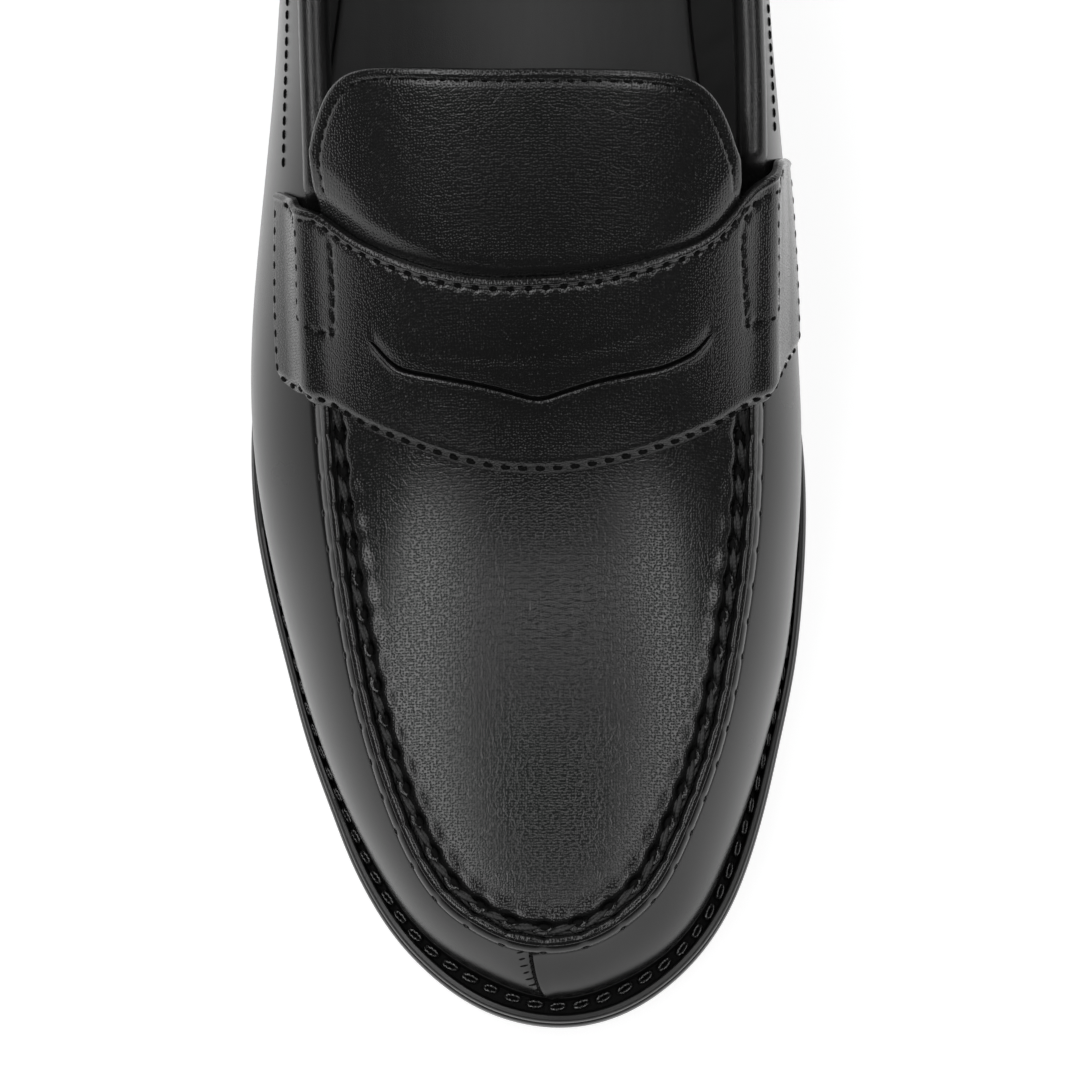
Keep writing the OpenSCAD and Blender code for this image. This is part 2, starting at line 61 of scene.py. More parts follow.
ST = [[5,5.6,5.1,5.5,12.4,0,1,5,3,6],[-6,8.8,5.5,-2.5,13.2,0,1,5,3,6],[-16,15,4.7,-9.5,16.4,0,1.2,5,3.2,6],
 [-23.2,22.8,4.2,-15.6,21.2,0,1.2,6,3.5,6],[-29,32.6,3.9,-21,29.2,0,1.4,6,4,6.5],[-33.8,42.5,3.2,-26,41,0,1.6,7,4.5,7],
 [-38.8,55,2.8,-30.2,55,0,1.8,8,5,7],[-43.3,70,2.6,-33.3,70,0,2.2,9,6,7.5],[-47,85,2.8,-35.7,85,0,2.8,10,7,8],
 [-49.4,100,3.2,-37.4,100,0,4,11,9,9],[-50.2,115,3.2,-38.3,115,0,5.4,12,10.4,10.5],[-49.4,130,3,-38.7,130,0,6.4,13,10.5,12],
 [-47.4,145,2.6,-38.9,145,0,7.2,14,9.4,14],[-45,160,2.2,-39.3,160,68,7.4,15,8.3,15],[-42.6,175,2,-40,175,67.6,7.7,15,7.3,16],
 [-40.4,190,1.8,-40.4,190,68.2,7.8,15,6.7,17],[-38.4,205,1.8,-40,205,69.8,7,15,5.6,18],[-36.6,220,1.8,-38.4,220,72.4,6.6,15,5.6,19],
 [-35.2,236,1.9,-35.2,236,76.4,6,15,5.8,20],[-34,252,2,-30.6,252,81.2,5.4,15,6.4,20],[-31.6,268,2,-24.8,266.5,86.2,5,15,7,20],
 [-26,283,2,-17.6,279.5,91,4.8,15,7.4,20],[-15.4,293.8,2,-9.2,288.4,94.4,4.4,15,7.8,20],[0,297.6,2,0,291,95.6,4.2,15,8,20],
 [15.2,293.8,2,9.2,288.4,94.4,4.4,15,7.8,20],[25.8,283,2,17.6,279.5,91,4.8,15,7.4,20],[31.4,268,2,24.8,266.5,86.2,5,15,7,20],
 [33.8,252,2,30.6,252,81.4,5.4,15,6.4,20],[34.4,236,1.9,35.2,236,76.8,6.2,15,5.8,20],[34.2,220,1.8,38.6,220,73,7.6,16,5.6,19],
 [34.2,205,1.8,40.6,205,70.4,8.8,17,5.6,18],[35.2,190,1.8,41.4,190,68.8,9.4,18,5.6,17],[37.6,175,1.9,41.8,175,68.2,9,18,6,16],
 [41,160,2.2,42,160,68.6,8,17,6.6,15],[44.6,145,2.6,42.2,145,0,7,15,7.4,14],[47.8,130,3,42.4,130,0,5.6,14,7.8,12],
 [50,115,3.2,42.7,115,0,4.4,13,7.2,10.5],[50.6,100,3.2,42.6,100,0,3.4,12,6.5,9],[49.9,85,3.1,41.7,85,0,2.6,11,5.5,8],
 [48.2,70,3,39.6,70,0,2.2,10,5,7.5],[45,56,3.2,37,56,0,1.8,8,4.5,7],[41.2,43,3.8,33.2,43,0,1.6,7,4.2,7],
 [36.6,30.6,4.4,28.4,31.2,0,1.4,6,4,6.5],[31.6,20.8,4.5,24,23.2,0,1.2,6,3.6,6],[24.6,13.2,4.9,18.4,17.6,0,1.2,5,3.3,6],
 [15.2,7.8,5.5,12.4,14,0,1,5,3,6]]
SE = [[-2,115.6,147],[-1.5,112.8,145],[-1,110.4,142.2],[-0.75,103.6,133.8],[-0.5,98.8,128.6],[-0.25,95.8,126.2],[0,95,126],
      [0.25,96.1,127.1],[0.5,98.9,129.9],[0.75,103.5,135.3],[1,110.8,147.6],[1.5,117.3,152.2],[2,122.4,155]]
SLIT = [[-26.5,119.5],[-24.8,116.5],[-22.6,113.4],[-18.5,112.2],[-13,111],[-5.6,109.4],[2.2,107.3],[7.2,108.9],[12.4,110.5],[23.4,113],
        [30.2,116.4],[31.6,119],[32.2,121.6]]
FOLD = [[-22,116.2],[-11.7,114.5],[-4.5,114],[2.8,113.8],[13,116],[23.3,119.2],[29,121.6]]          # faint crease above the slit
NS = len(ST)

# ------------------------------------------------------------------ curves
def natural(T):
    """smooth (C2) curve through the rows of a table, column 0 is the parameter"""
    T = np.asarray(T, float); X, Y = T[:, 0], T[:, 1:]; n = len(X); h = np.diff(X)
    A = np.zeros((n, n)); B = np.zeros((n, Y.shape[1])); A[0, 0] = A[-1, -1] = 1
    for i in range(1, n - 1):
        A[i, i - 1], A[i, i], A[i, i + 1] = h[i - 1], 2 * (h[i - 1] + h[i]), h[i]
        B[i] = 6 * ((Y[i + 1] - Y[i]) / h[i] - (Y[i] - Y[i - 1]) / h[i - 1])
    M = np.linalg.solve(A, B)
    def f(x, c):
        x = np.clip(np.asarray(x, float), X[0], X[-1]); i = np.clip(np.searchsorted(X, x, side="right") - 1, 0, n - 2)
        u = x - X[i]; hh = h[i]; y, m = Y[:, c - 1], M[:, c - 1]
        return y[i] + ((y[i + 1] - y[i]) / hh - hh * (2 * m[i] + m[i + 1]) / 6) * u + m[i] / 2 * u ** 2 + (m[i + 1] - m[i]) / (6 * hh) * u ** 3
    return f

def cub(T, x, c):
    T = np.asarray(T, float); X, Y = T[:, 0], T[:, c]; n = len(X)
    m = np.empty(n); m[1:-1] = (Y[2:] - Y[:-2]) / (X[2:] - X[:-2]); m[0] = (Y[1] - Y[0]) / (X[1] - X[0]); m[-1] = (Y[-1] - Y[-2]) / (X[-1] - X[-2])
    x = np.clip(np.asarray(x, float), X[0], X[-1]); i = np.clip(np.searchsorted(X, x, side="right") - 1, 0, n - 2)
    h = X[i + 1] - X[i]; u = (x - X[i]) / h
    return Y[i] * (2 * u ** 3 - 3 * u * u + 1) + m[i] * h * (u ** 3 - 2 * u * u + u) + Y[i + 1] * (3 * u * u - 2 * u ** 3) + m[i + 1] * h * (u ** 3 - u * u)

spf = natural(SP)
def zb(l): return np.maximum(0, cub(PB, l, 1))
def Z(x, l):
    d = x - spf(l, 2)
    return spf(l, 1) - spf(l, 3) * 1e-3 * d ** 2 - spf(l, 4) * 1e-6 * d ** 4
def ZT(x, l):
    d = x - spf(l, 2)
    return spf(l, 1) - spf(l, 3) * 1e-3 * d ** 2 - np.minimum(2.3, spf(l, 4)) * 1e-6 * d ** 4

S2 = np.array(ST, float)
for r in S2:
    if r[5] == 0:
        r[5] = Z(r[3], r[4])
_A = np.zeros((NS, NS)); _B = np.zeros_like(S2)
for i in range(NS):
    a, b = (i - 1) % NS, (i + 1) % NS
    _A[i, a], _A[i, i], _A[i, b] = 1, 4, 1
    _B[i] = 6 * (S2[b] - 2 * S2[i] + S2[a])
S2M = np.linalg.solve(_A, _B)
def cr(s):
    s = np.asarray(s, float); i = np.floor(s).astype(int); u = (s - i)[..., None]; a, b = i % NS, (i + 1) % NS
    p, q, m, n = S2[a], S2[b], S2M[a], S2M[b]
    return p + (q - p - (2 * m + n) / 6) * u + m / 2 * u ** 2 + (n - m) / 6 * u ** 3
def crd(s):
    s = np.asarray(s, float); i = np.floor(s).astype(int); u = (s - i)[..., None]; a, b = i % NS, (i + 1) % NS
    p, q, m, n = S2[a], S2[b], S2M[a], S2M[b]
    return (q - p - (2 * m + n) / 6) + m * u + (n - m) / 2 * u ** 2
def outn(s):
    d = crd(s); n = np.stack([-d[..., 1], d[..., 0]], -1)
    return n / np.linalg.norm(n, axis=-1, keepdims=True)
def wall(s, t):
    s, t = np.broadcast_arrays(np.asarray(s, float), np.asarray(t, float))
    r = cr(s); n = outn(s); O = np.stack([r[..., 0], r[..., 1], zb(r[..., 1]) + ZF0 + 0.15], -1); T = r[..., 3:6]
    N3 = np.concatenate([n, np.zeros_like(n[..., :1])], -1); up = np.array([0, 0, 1.0])
    P1 = O + N3 * r[..., 6:7] + up * r[..., 7:8]; P2 = T + N3 * r[..., 8:9] - up * r[..., 9:10]; t = t[..., None]; w = 1 - t
    P = O * w ** 3 + P1 * 3 * w * w * t + P2 * 3 * w * t * t + T * t ** 3
    return P - np.array([0, YO, 0])
def foot(s, o):
    r = cr(s); n = outn(s); return r[..., :2] + n * np.asarray(o, float)[..., None]          # [x, l]
def rail(s, o):
    r = cr(s); d = crd(s)[..., 3:5]; d = d / np.linalg.norm(d, axis=-1, keepdims=True)
    return r[..., 3:5] + np.stack([d[..., 1], -d[..., 0]], -1) * np.asarray(o, float)[..., None]
def sL(side, l):
    side, l = np.broadcast_arrays(np.asarray(side, float), np.asarray(l, float))
    return np.where(side < 0, 8 + (l - 85) / 15, 38 - (l - 85) / 15)
def across(v, l):
    v, l = np.broadcast_arrays(np.asarray(v, float), np.asarray(l, float))
    a, b = cr(sL(-1, l)), cr(sL(1, l)); x = a[..., 3] + (b[..., 3] - a[..., 3]) * (np.clip(v, -1, 1) + 1) / 2
    top = np.stack([x, l - YO, Z(x, l)], -1)
    w = wall(sL(v, l), 1 - (np.maximum(np.abs(v), 1) - 1) * np.where(v < 0, 0.21, 0.4))
    return np.where((np.abs(v) <= 1)[..., None], top, w)

def unit(a): return a / np.maximum(np.linalg.norm(a, axis=-1, keepdims=True), 1e-9)
def normals(G):
    di = np.gradient(G, axis=0); dj = np.gradient(G, axis=1); return unit(np.cross(dj, di))
def sstep(a, b, x): t = np.clip((np.asarray(x, float) - a) / (b - a), 0, 1); return t * t * (3 - 2 * t)
def gauss(x, w): return np.exp(-(np.asarray(x, float) / w) ** 2)
def roundover(e, r): e = np.clip(e, 0, r); return r - np.sqrt(np.maximum(r * r - (r - e) ** 2, 0))
def arclen(P): return np.concatenate([[0], np.cumsum(np.linalg.norm(np.diff(P, axis=0), axis=1))])
def at(P, L, u): return np.stack([np.interp(u, L, P[:, k]) for k in range(P.shape[1])], -1)
def smooth_rows(P, k=1):
    for _ in range(k): P[1:-1] = (P[:-2] + 2 * P[1:-1] + P[2:]) / 4
    return P

# ------------------------------------------------------------------ meshes
def grid_faces(n, m, wi=False, wj=False, base=0):
    I = np.arange(n if wi else n - 1); J = np.arange(m if wj else m - 1); i, j = np.meshgrid(I, J, indexing="ij")
    a = i * m + j; b = ((i + 1) % n) * m + j; c = ((i + 1) % n) * m + (j + 1) % m; d = i * m + (j + 1) % m
    return np.stack([a, b, c, d], -1).reshape(-1, 4) + base

def build(name, V, F, mats, body="shoe", uv=None, mi=None, angle=38, weld=0.0, slot=None, rep=(), recalc=True):
    """closed mesh from points in mm and a list of face arrays"""
    V = np.asarray(V, float).reshape(-1, 3); F = [np.asarray(f, int) for f in F if len(f)]
    mats = mats if isinstance(mats, (list, tuple)) else [mats]
    me = bpy.data.meshes.new(name); me.vertices.add(len(V)); me.vertices.foreach_set("co", (V * MM).ravel())
    loops = np.concatenate([f.ravel() for f in F]); tot = np.concatenate([np.full(len(f), f.shape[1]) for f in F])
    me.loops.add(len(loops)); me.loops.foreach_set("vertex_index", loops)
    me.polygons.add(len(tot)); me.polygons.foreach_set("loop_start", np.concatenate([[0], np.cumsum(tot)[:-1]])); me.polygons.foreach_set("loop_total", tot)
    if mi is not None: me.polygons.foreach_set("material_index", np.concatenate([np.broadcast_to(m, len(f)) for m, f in zip(mi, F)]).astype(int))
    me.update(calc_edges=True)
    if uv is not None:
        layer = me.uv_layers.new(name="uv"); layer.data.foreach_set("uv", (np.asarray(uv, float).reshape(-1, 2)[loops] * MM).ravel())
    me.validate()
    bm = bmesh.new(); bm.from_mesh(me)
    if weld: bmesh.ops.remove_doubles(bm, verts=bm.verts, dist=weld * MM)
    bmesh.ops.dissolve_degenerate(bm, edges=bm.edges, dist=1e-8)
    if recalc: bmesh.ops.recalc_face_normals(bm, faces=bm.faces)
    for f in bm.faces: f.smooth = True
    bm.to_mesh(me); bm.free()
    me.set_sharp_from_angle(angle=math.radians(angle))
    for m in mats: me.materials.append(m)
    ob = bpy.data.objects.new(name, me); bpy.context.scene.collection.objects.link(ob)
    if body == "blend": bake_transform(ob)
    elif body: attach(ob, body)
    if rep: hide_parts(*rep)
    return ob

def guv(G):
    """running lengths along both directions of a grid"""
    a = np.cumsum(np.concatenate([np.zeros((1, G.shape[1])), np.linalg.norm(np.diff(G, axis=0), axis=-1)]), 0)
    b = np.cumsum(np.concatenate([np.zeros((G.shape[0], 1)), np.linalg.norm(np.diff(G, axis=1), axis=-1)], 1), 1)
    return np.stack([a.mean(1, keepdims=True) + 0 * a, b.mean(0, keepdims=True) + 0 * b], -1)

def shell(name, G, lo, hi, mats, uv=None, N=None, last=True, **kw):
    """solid between two offsets of a grid; lo and hi may be arrays"""
    N = normals(G) if N is None else N
    lo, hi = [np.broadcast_to(np.asarray(o, float), G.shape[:2])[..., None] for o in (lo, hi)]
    n, m = G.shape[:2]; A, B = G + N * hi, G + N * lo; K = n * m; uv = guv(G) if uv is None else uv
    F = [grid_faces(n, m), grid_faces(n, m, base=K)[:, ::-1]]
    i = np.arange(n - 1); j = np.arange(m - 1)
    for col in (0, m - 1): F.append(np.stack([i * m + col, (i + 1) * m + col, K + (i + 1) * m + col, K + i * m + col], -1))
    for row in ((0, n - 1) if last else (0,)): F.append(np.stack([row * m + j, row * m + j + 1, K + row * m + j + 1, K + row * m + j], -1))
    return build(name, np.concatenate([A.reshape(-1, 3), B.reshape(-1, 3)]), F, mats, uv=np.concatenate([uv.reshape(-1, 2)] * 2), **kw)

def sweep(name, R, mats, close=False, uv=None, secmat=None, **kw):
    """rings R (n, k, 3) joined along a path, capped at both ends"""
    n, k = R.shape[:2]
    F = [grid_faces(n, k, wi=close, wj=True)]
    if not close: F += [np.arange(k)[None, ::-1], (n - 1) * k + np.arange(k)[None]]
    if secmat is not None: kw["mi"] = [np.tile(secmat, n - 1)] + [0] * (len(F) - 1)
    if uv is None:
        L = arclen(R[:, 0]); w = np.concatenate([[0], np.cumsum(np.linalg.norm(np.diff(R.mean(0), axis=0), axis=1))])
        uv = np.stack(np.meshgrid(L, w, indexing="ij"), -1)
    return build(name, R, F, mats, uv=uv, **kw)

def tubes(name, C, N, r, mats, k=7, flat=1.0, **kw):
    """many short threads: C (count, m, 3) middle lines, N normals of the leather, r radius (m) or scalar"""
    C = np.asarray(C, float); N = np.asarray(N, float); c, m = C.shape[:2]
    T = unit(np.gradient(C, axis=1)); S = unit(np.cross(N, T)); U = unit(np.cross(T, S))
    rad = np.broadcast_to(np.asarray(r, float), (c, m))[..., None, None]
    a = 2 * np.pi * np.arange(k) / k
    R = C[:, :, None] + rad * (np.cos(a)[:, None] * S[:, :, None] + flat * np.sin(a)[:, None] * U[:, :, None])
    f = grid_faces(m, k, wj=True); F = (f[None] + (np.arange(c) * m * k)[:, None, None]).reshape(-1, 4)
    e0 = (np.arange(k)[None, ::-1] + (np.arange(c) * m * k)[:, None]); e1 = ((m - 1) * k + np.arange(k))[None] + (np.arange(c) * m * k)[:, None]
    L = np.concatenate([np.zeros((c, 1)), np.cumsum(np.linalg.norm(np.diff(C, axis=1), axis=-1), 1)], 1) + 10 * np.arange(c)[:, None]
    uv = np.stack([np.broadcast_to(L[:, :, None], (c, m, k)), np.broadcast_to(a * 0.3, (c, m, k))], -1)
    return build(name, R, [F, e0, e1], mats, uv=uv, angle=70, **kw)

def stitches(P, N, pitch, length, lift, dip=0.55, start=0.0, m=9, skew=0.0, side=0.0):
    """stitch middle lines along a path with normals; each one rises out of a hole and goes back into the next"""
    L = arclen(P); T = unit(np.gradient(P, axis=0)); S = unit(np.cross(N, T)); n = int((L[-1] - start) // pitch)
    off = start + (L[-1] - start - n * pitch) / 2; C, NN, H = [], [], []
    w = np.linspace(-1, 1, m); arch = np.where(np.abs(w) < 0.72, 1.0, 0) ; arch = 1 - np.clip((np.abs(w) - 0.62) / 0.38, 0, 1) ** 2 * (1 + dip / max(lift, 1e-6))
    for i in range(n):
        c = off + (i + 0.5) * pitch; u = c + w * length / 2
        nn = unit(at(N, L, u)); C.append(at(P, L, u) + nn * (lift * arch)[:, None] + unit(at(S, L, u)) * (side + skew * w)[:, None]); NN.append(nn)
        H += [c - length / 2 - 0.05, c + length / 2 + 0.05]
    return np.array(C), np.array(NN), at(P, L, np.array(H))

def near(P, Q):
    """distance of every point of P to the closest point of Q"""
    t = KDTree(len(Q))
    for i, q in enumerate(Q): t.insert(q, i)
    t.balance(); f = P.reshape(-1, 3)
    return np.array([t.find(p)[2] for p in f]).reshape(P.shape[:-1])

def near_in(P, Q, r):
    """as near, but only looks at points inside Q's box grown by r"""
    lo, hi = Q.min(0) - r, Q.max(0) + r; ok = ((P > lo) & (P < hi)).all(-1); d = np.full(P.shape[:-1], 99.0)
    if ok.any(): d[ok] = near(P[ok], Q)
    return d

# ------------------------------------------------------------------ materials
def mat_new(name, **s):
    m = bpy.data.materials.new(name); m.use_nodes = True; nt = m.node_tree; b = nt.nodes["Principled BSDF"]
    for k, v in s.items():
        b.inputs[k.replace("_", " ")].default_value = (*v, 1) if isinstance(v, tuple) and len(v) == 3 else v
    return m, nt, b

def N_(nt, kind, **p):
    n = nt.nodes.new(kind)
    for k, v in p.items():
        if hasattr(n, k): setattr(n, k, v)
        else: n.inputs[k.replace("_", " ")].default_value = v
    return n

def ramp(nt, src, stops):
    r = nt.nodes.new("ShaderNodeValToRGB"); e = r.color_ramp.elements
    while len(e) < len(stops): e.new(0.5)
    for k, (p, c) in enumerate(stops):
        e[k].position = p; e[k].color = (*c, 1) if isinstance(c, tuple) else (c, c, c, 1)
    nt.links.new(src, r.inputs["Fac"]); return r.outputs["Color"]

def mrange(nt, src, a, b, c, d, kind="SMOOTHSTEP"):
    n = N_(nt, "ShaderNodeMapRange", interpolation_type=kind); n.inputs["From Min"].default_value = a; n.inputs["From Max"].default_value = b
    n.inputs["To Min"].default_value = c; n.inputs["To Max"].default_value = d; nt.links.new(src, n.inputs["Value"]); return n.outputs["Result"]

def math_(nt, op, a, b):
    n = N_(nt, "ShaderNodeMath", operation=op)
    for i, v in enumerate((a, b)):
        if isinstance(v, (int, float)): n.inputs[i].default_value = v
        else: nt.links.new(v, n.inputs[i])
    return n.outputs[0]

def noise(nt, vec, scale, detail=3, rough=0.55, dist=0.0):
    n = N_(nt, "ShaderNodeTexNoise"); n.inputs["Scale"].default_value = scale; n.inputs["Detail"].default_value = detail
    n.inputs["Roughness"].default_value = rough; n.inputs["Distortion"].default_value = dist; nt.links.new(vec, n.inputs["Vector"]); return n.outputs["Fac"]

def coords(nt):
    uv = N_(nt, "ShaderNodeUVMap", uv_map="uv").outputs["UV"]; ob = N_(nt, "ShaderNodeTexCoord").outputs["Object"]; return uv, ob

def bump(nt, b, h, dist, strength=1.0):
    n = N_(nt, "ShaderNodeBump"); n.inputs["Distance"].default_value = dist; n.inputs["Strength"].default_value = strength
    nt.links.new(h, n.inputs["Height"]); nt.links.new(n.outputs["Normal"], b.inputs["Normal"]); return n

def leather(name, col=0.013, rough=(0.36, 0.46), pitch=0.5, depth=0.030, pit=0.36, micro=0.25, spec=0.5, streak=0.0, pores=True, rnd=0.85):
    m, nt, b = mat_new(name, Specular_IOR_Level=spec); uv, ob = coords(nt)
    # warp the layout a little so that the pits don't sit on a grid
    wn = N_(nt, "ShaderNodeTexNoise"); wn.inputs["Scale"].default_value = 350; nt.links.new(uv, wn.inputs["Vector"])
    add = N_(nt, "ShaderNodeVectorMath", operation="MULTIPLY_ADD"); add.inputs[1].default_value = (0.0004,) * 3
    nt.links.new(wn.outputs["Color"], add.inputs[0]); nt.links.new(uv, add.inputs[2])
    h = None
    if pores:
        v = N_(nt, "ShaderNodeTexVoronoi", voronoi_dimensions="2D", feature="F1"); v.inputs["Scale"].default_value = 1000 / pitch
        v.inputs["Randomness"].default_value = rnd; nt.links.new(add.outputs[0], v.inputs["Vector"])
        pits = mrange(nt, v.outputs["Distance"], 0.02, pit, 0, 1)
        v2 = N_(nt, "ShaderNodeTexVoronoi", voronoi_dimensions="2D", feature="DISTANCE_TO_EDGE"); v2.inputs["Scale"].default_value = 1000 / (pitch * 2.6)
        nt.links.new(add.outputs[0], v2.inputs["Vector"])
        crease = mrange(nt, v2.outputs["Distance"], 0.0, 0.12, 0, 1)
        h = math_(nt, "ADD", math_(nt, "MULTIPLY", pits, 1.0), math_(nt, "MULTIPLY", crease, 0.45))
    fine = noise(nt, uv, 5200, 2)
    h = math_(nt, "ADD", h, math_(nt, "MULTIPLY", fine, micro)) if h is not None else math_(nt, "MULTIPLY", fine, micro)
    broad = noise(nt, ob, 38, 4, 0.6)
    if streak:
        mp = N_(nt, "ShaderNodeMapping"); mp.inputs["Scale"].default_value = (1, 0.12, 1); nt.links.new(uv, mp.inputs["Vector"])
        sk = noise(nt, mp.outputs["Vector"], 420, 4, 0.6); broad = math_(nt, "ADD", math_(nt, "MULTIPLY", broad, 1 - streak), math_(nt, "MULTIPLY", sk, streak))
    bump(nt, b, h, depth * MM)
    c = ramp(nt, broad, [(0.3, col * 0.78), (0.7, col * 1.25)])
    # the pits are also darkened in the base colour: painted shade in the pores
    if pores:
        mx = N_(nt, "ShaderNodeMix", data_type="RGBA", blend_type="MULTIPLY"); mx.inputs[0].default_value = 1
        nt.links.new(c, mx.inputs[6]); nt.links.new(ramp(nt, pits, [(0.0, 0.45), (0.6, 1.0)]), mx.inputs[7]); c = mx.outputs[2]
    nt.links.new(c, b.inputs["Base Color"])
    rr = mrange(nt, broad, 0.3, 0.7, rough[0], rough[1], "LINEAR")
    nt.links.new(rr, b.inputs["Roughness"])
    return m

M = {}
M["grain"] = leather("grain_leather", 0.0060, (0.15, 0.20), 0.50, 0.034, pit=0.42, micro=0.10, rnd=0.55)
M["smooth"] = leather("smooth_leather", 0.007, (0.22, 0.28), 0.36, 0.003, micro=0.3, spec=0.28)
M["binding"] = leather("binding_leather", 0.007, (0.22, 0.28), 0.42, 0.026)
M["lining"] = leather("lining_leather", 0.030, (0.52, 0.66), 0.30, 0.010, streak=0.6, spec=0.4)
M["sock"] = leather("sock_leather", 0.032, (0.50, 0.64), 0.30, 0.010, streak=0.5, spec=0.4)
M["suede"] = leather("grip_suede", 0.030, (0.85, 0.95), 0.22, 0.030, micro=1.0, spec=0.2)
M["edge"] = leather("sole_edge", 0.010, (0.30, 0.42), 0.3, 0.006, micro=1.0, pores=False, streak=0.5)
M["bottom"] = leather("sole_bottom", 0.020, (0.42, 0.58), 0.25, 0.008, micro=1.2, pores=False, streak=0.4)
M["welt"] = leather("welt_leather", 0.007, (0.34, 0.46), 0.3, 0.012, micro=1.0, pores=False)
# near-black matte leather used as painted shade: in the welt channel, in the seam holes and behind the strap slit
M["black"] = leather("painted_shade_black", 0.003, (0.7, 0.85), 0.3, 0.02, micro=1.4, pores=False, spec=0.12)

def thread_mat(name, col=0.012, rough=0.42):
    m, nt, b = mat_new(name, Specular_IOR_Level=0.7 if rough < 0.3 else 0.45 if rough < 0.6 else 0.08); uv, ob = coords(nt)
    mp = N_(nt, "ShaderNodeMapping"); mp.inputs["Rotation"].default_value = (0, 0, 0.6); nt.links.new(uv, mp.inputs["Vector"])
    w = N_(nt, "ShaderNodeTexWave", wave_type="BANDS", bands_direction="X"); w.inputs["Scale"].default_value = 480; w.inputs["Distortion"].default_value = 1.2
    nt.links.new(mp.outputs["Vector"], w.inputs["Vector"])
    f = noise(nt, ob, 4000, 2); h = math_(nt, "ADD", w.outputs["Fac"], math_(nt, "MULTIPLY", f, 0.5)); bump(nt, b, h, 0.00004)
    # colour follows the twist bands, darker in the low bands: painted shade between the plies
    nt.links.new(ramp(nt, w.outputs["Fac"], [(0.1, col * 0.6), (0.8, col * 1.5)]), b.inputs["Base Color"])
    nt.links.new(mrange(nt, f, 0.3, 0.7, rough - 0.06, rough + 0.08), b.inputs["Roughness"])
    return m
M["thread"] = thread_mat("waxed_thread", 0.006, 0.5)
M["wax"] = thread_mat("welt_thread", 0.006, 0.24)
M["thread2"] = thread_mat("machine_thread", 0.0025, 0.75)

def simple(name, stops, scale, rough, bump_mm, metal=0.0, spec=0.5, detail=5, dist=0.0):
    m, nt, b = mat_new(name, Metallic=metal, Specular_IOR_Level=spec); ob = N_(nt, "ShaderNodeTexCoord").outputs["Object"]
    n = noise(nt, ob, scale, detail, 0.6, dist); nt.links.new(ramp(nt, n, stops), b.inputs["Base Color"])
    nt.links.new(mrange(nt, n, 0.3, 0.7, rough[0], rough[1]), b.inputs["Roughness"]); bump(nt, b, noise(nt, ob, scale * 4, 3), bump_mm * MM); return m
M["rubber"] = simple("heel_rubber", [(0.3, 0.010), (0.7, 0.016)], 900, (0.62, 0.74), 0.03)
M["stack"] = simple("stacked_leather", [(0.3, 0.009), (0.7, 0.014)], 300, (0.32, 0.44), 0.01)
M["brass"] = simple("nail_brass", [(0.3, (0.62, 0.44, 0.18)), (0.7, (0.78, 0.60, 0.28))], 700, (0.25, 0.4), 0.01, metal=1.0)
M["cork"] = simple("cork", [(0.3, (0.30, 0.17, 0.08)), (0.5, (0.50, 0.31, 0.16)), (0.7, (0.60, 0.40, 0.22))], 500, (0.75, 0.9), 0.15, spec=0.3)
M["steel"] = simple("shank_steel", [(0.3, 0.45), (0.7, 0.6)], 200, (0.25, 0.4), 0.01, metal=1.0)
M["board"] = simple("insole_board", [(0.3, (0.42, 0.29, 0.17)), (0.7, (0.55, 0.40, 0.25))], 250, (0.7, 0.85), 0.05, spec=0.3)
M["stiff"] = simple("stiffener", [(0.3, (0.50, 0.44, 0.34)), (0.7, (0.62, 0.56, 0.44))], 260, (0.7, 0.85), 0.04, spec=0.3)

# ------------------------------------------------------------------ camera first
cam = bpy.data.cameras.new("camera"); cam.lens = 110.27; cam.sensor_width = 36
co = bpy.data.objects.new("camera", cam); bpy.context.scene.collection.objects.link(co)
co.location = (0.0025, -0.18935, 0.62689)
co.rotation_mode = "QUATERNION"; co.rotation_quaternion = (Vector((0.0025, -0.0646, 0.040)) - co.location).to_track_quat("-Z", "Y")
cam.clip_start, cam.clip_end = 0.02, 50
bpy.context.scene.camera = co

# ------------------------------------------------------------------ sole unit
LCEN0, LCEN1 = 34.0, 268.0
def spine_fill(ring, k, l0=LCEN0, l1=LCEN1):
    """rows from a closed outline (x, l) to the middle line, so that both halves share their last points"""
    n = len(ring); mir = ring[(-np.arange(n)) % n]; l = np.clip((ring[:, 1] + mir[:, 1]) / 2, l0, l1)
    o = np.argsort(ring[: n // 2 + 1, 1]); xm = (ring[:, 0] + mir[:, 0]) / 2
    x = np.interp(l, ((ring[:, 1] + mir[:, 1]) / 2)[: n // 2 + 1][o], xm[: n // 2 + 1][o])
    end = np.stack([x, l], -1); a = (np.arange(1, k + 1) / k)[:, None, None]
    return ring[None] * (1 - a) + end[None] * a

SR = np.arange(0, NS, 1 / 20.0)
R_all = cr(SR); N_all = outn(SR); EXT = R_all[:, 2]
def ring_edge(o): return R_all[:, :2] + N_all * (EXT + o)[:, None]
def ring_foot(o): return R_all[:, :2] + N_all * o

def lay(rows, zs):
    """rows of (x, l) with heights to points"""
    return np.concatenate([rows[..., 0:1], rows[..., 1:2] - YO, np.asarray(zs)[..., None]], -1)

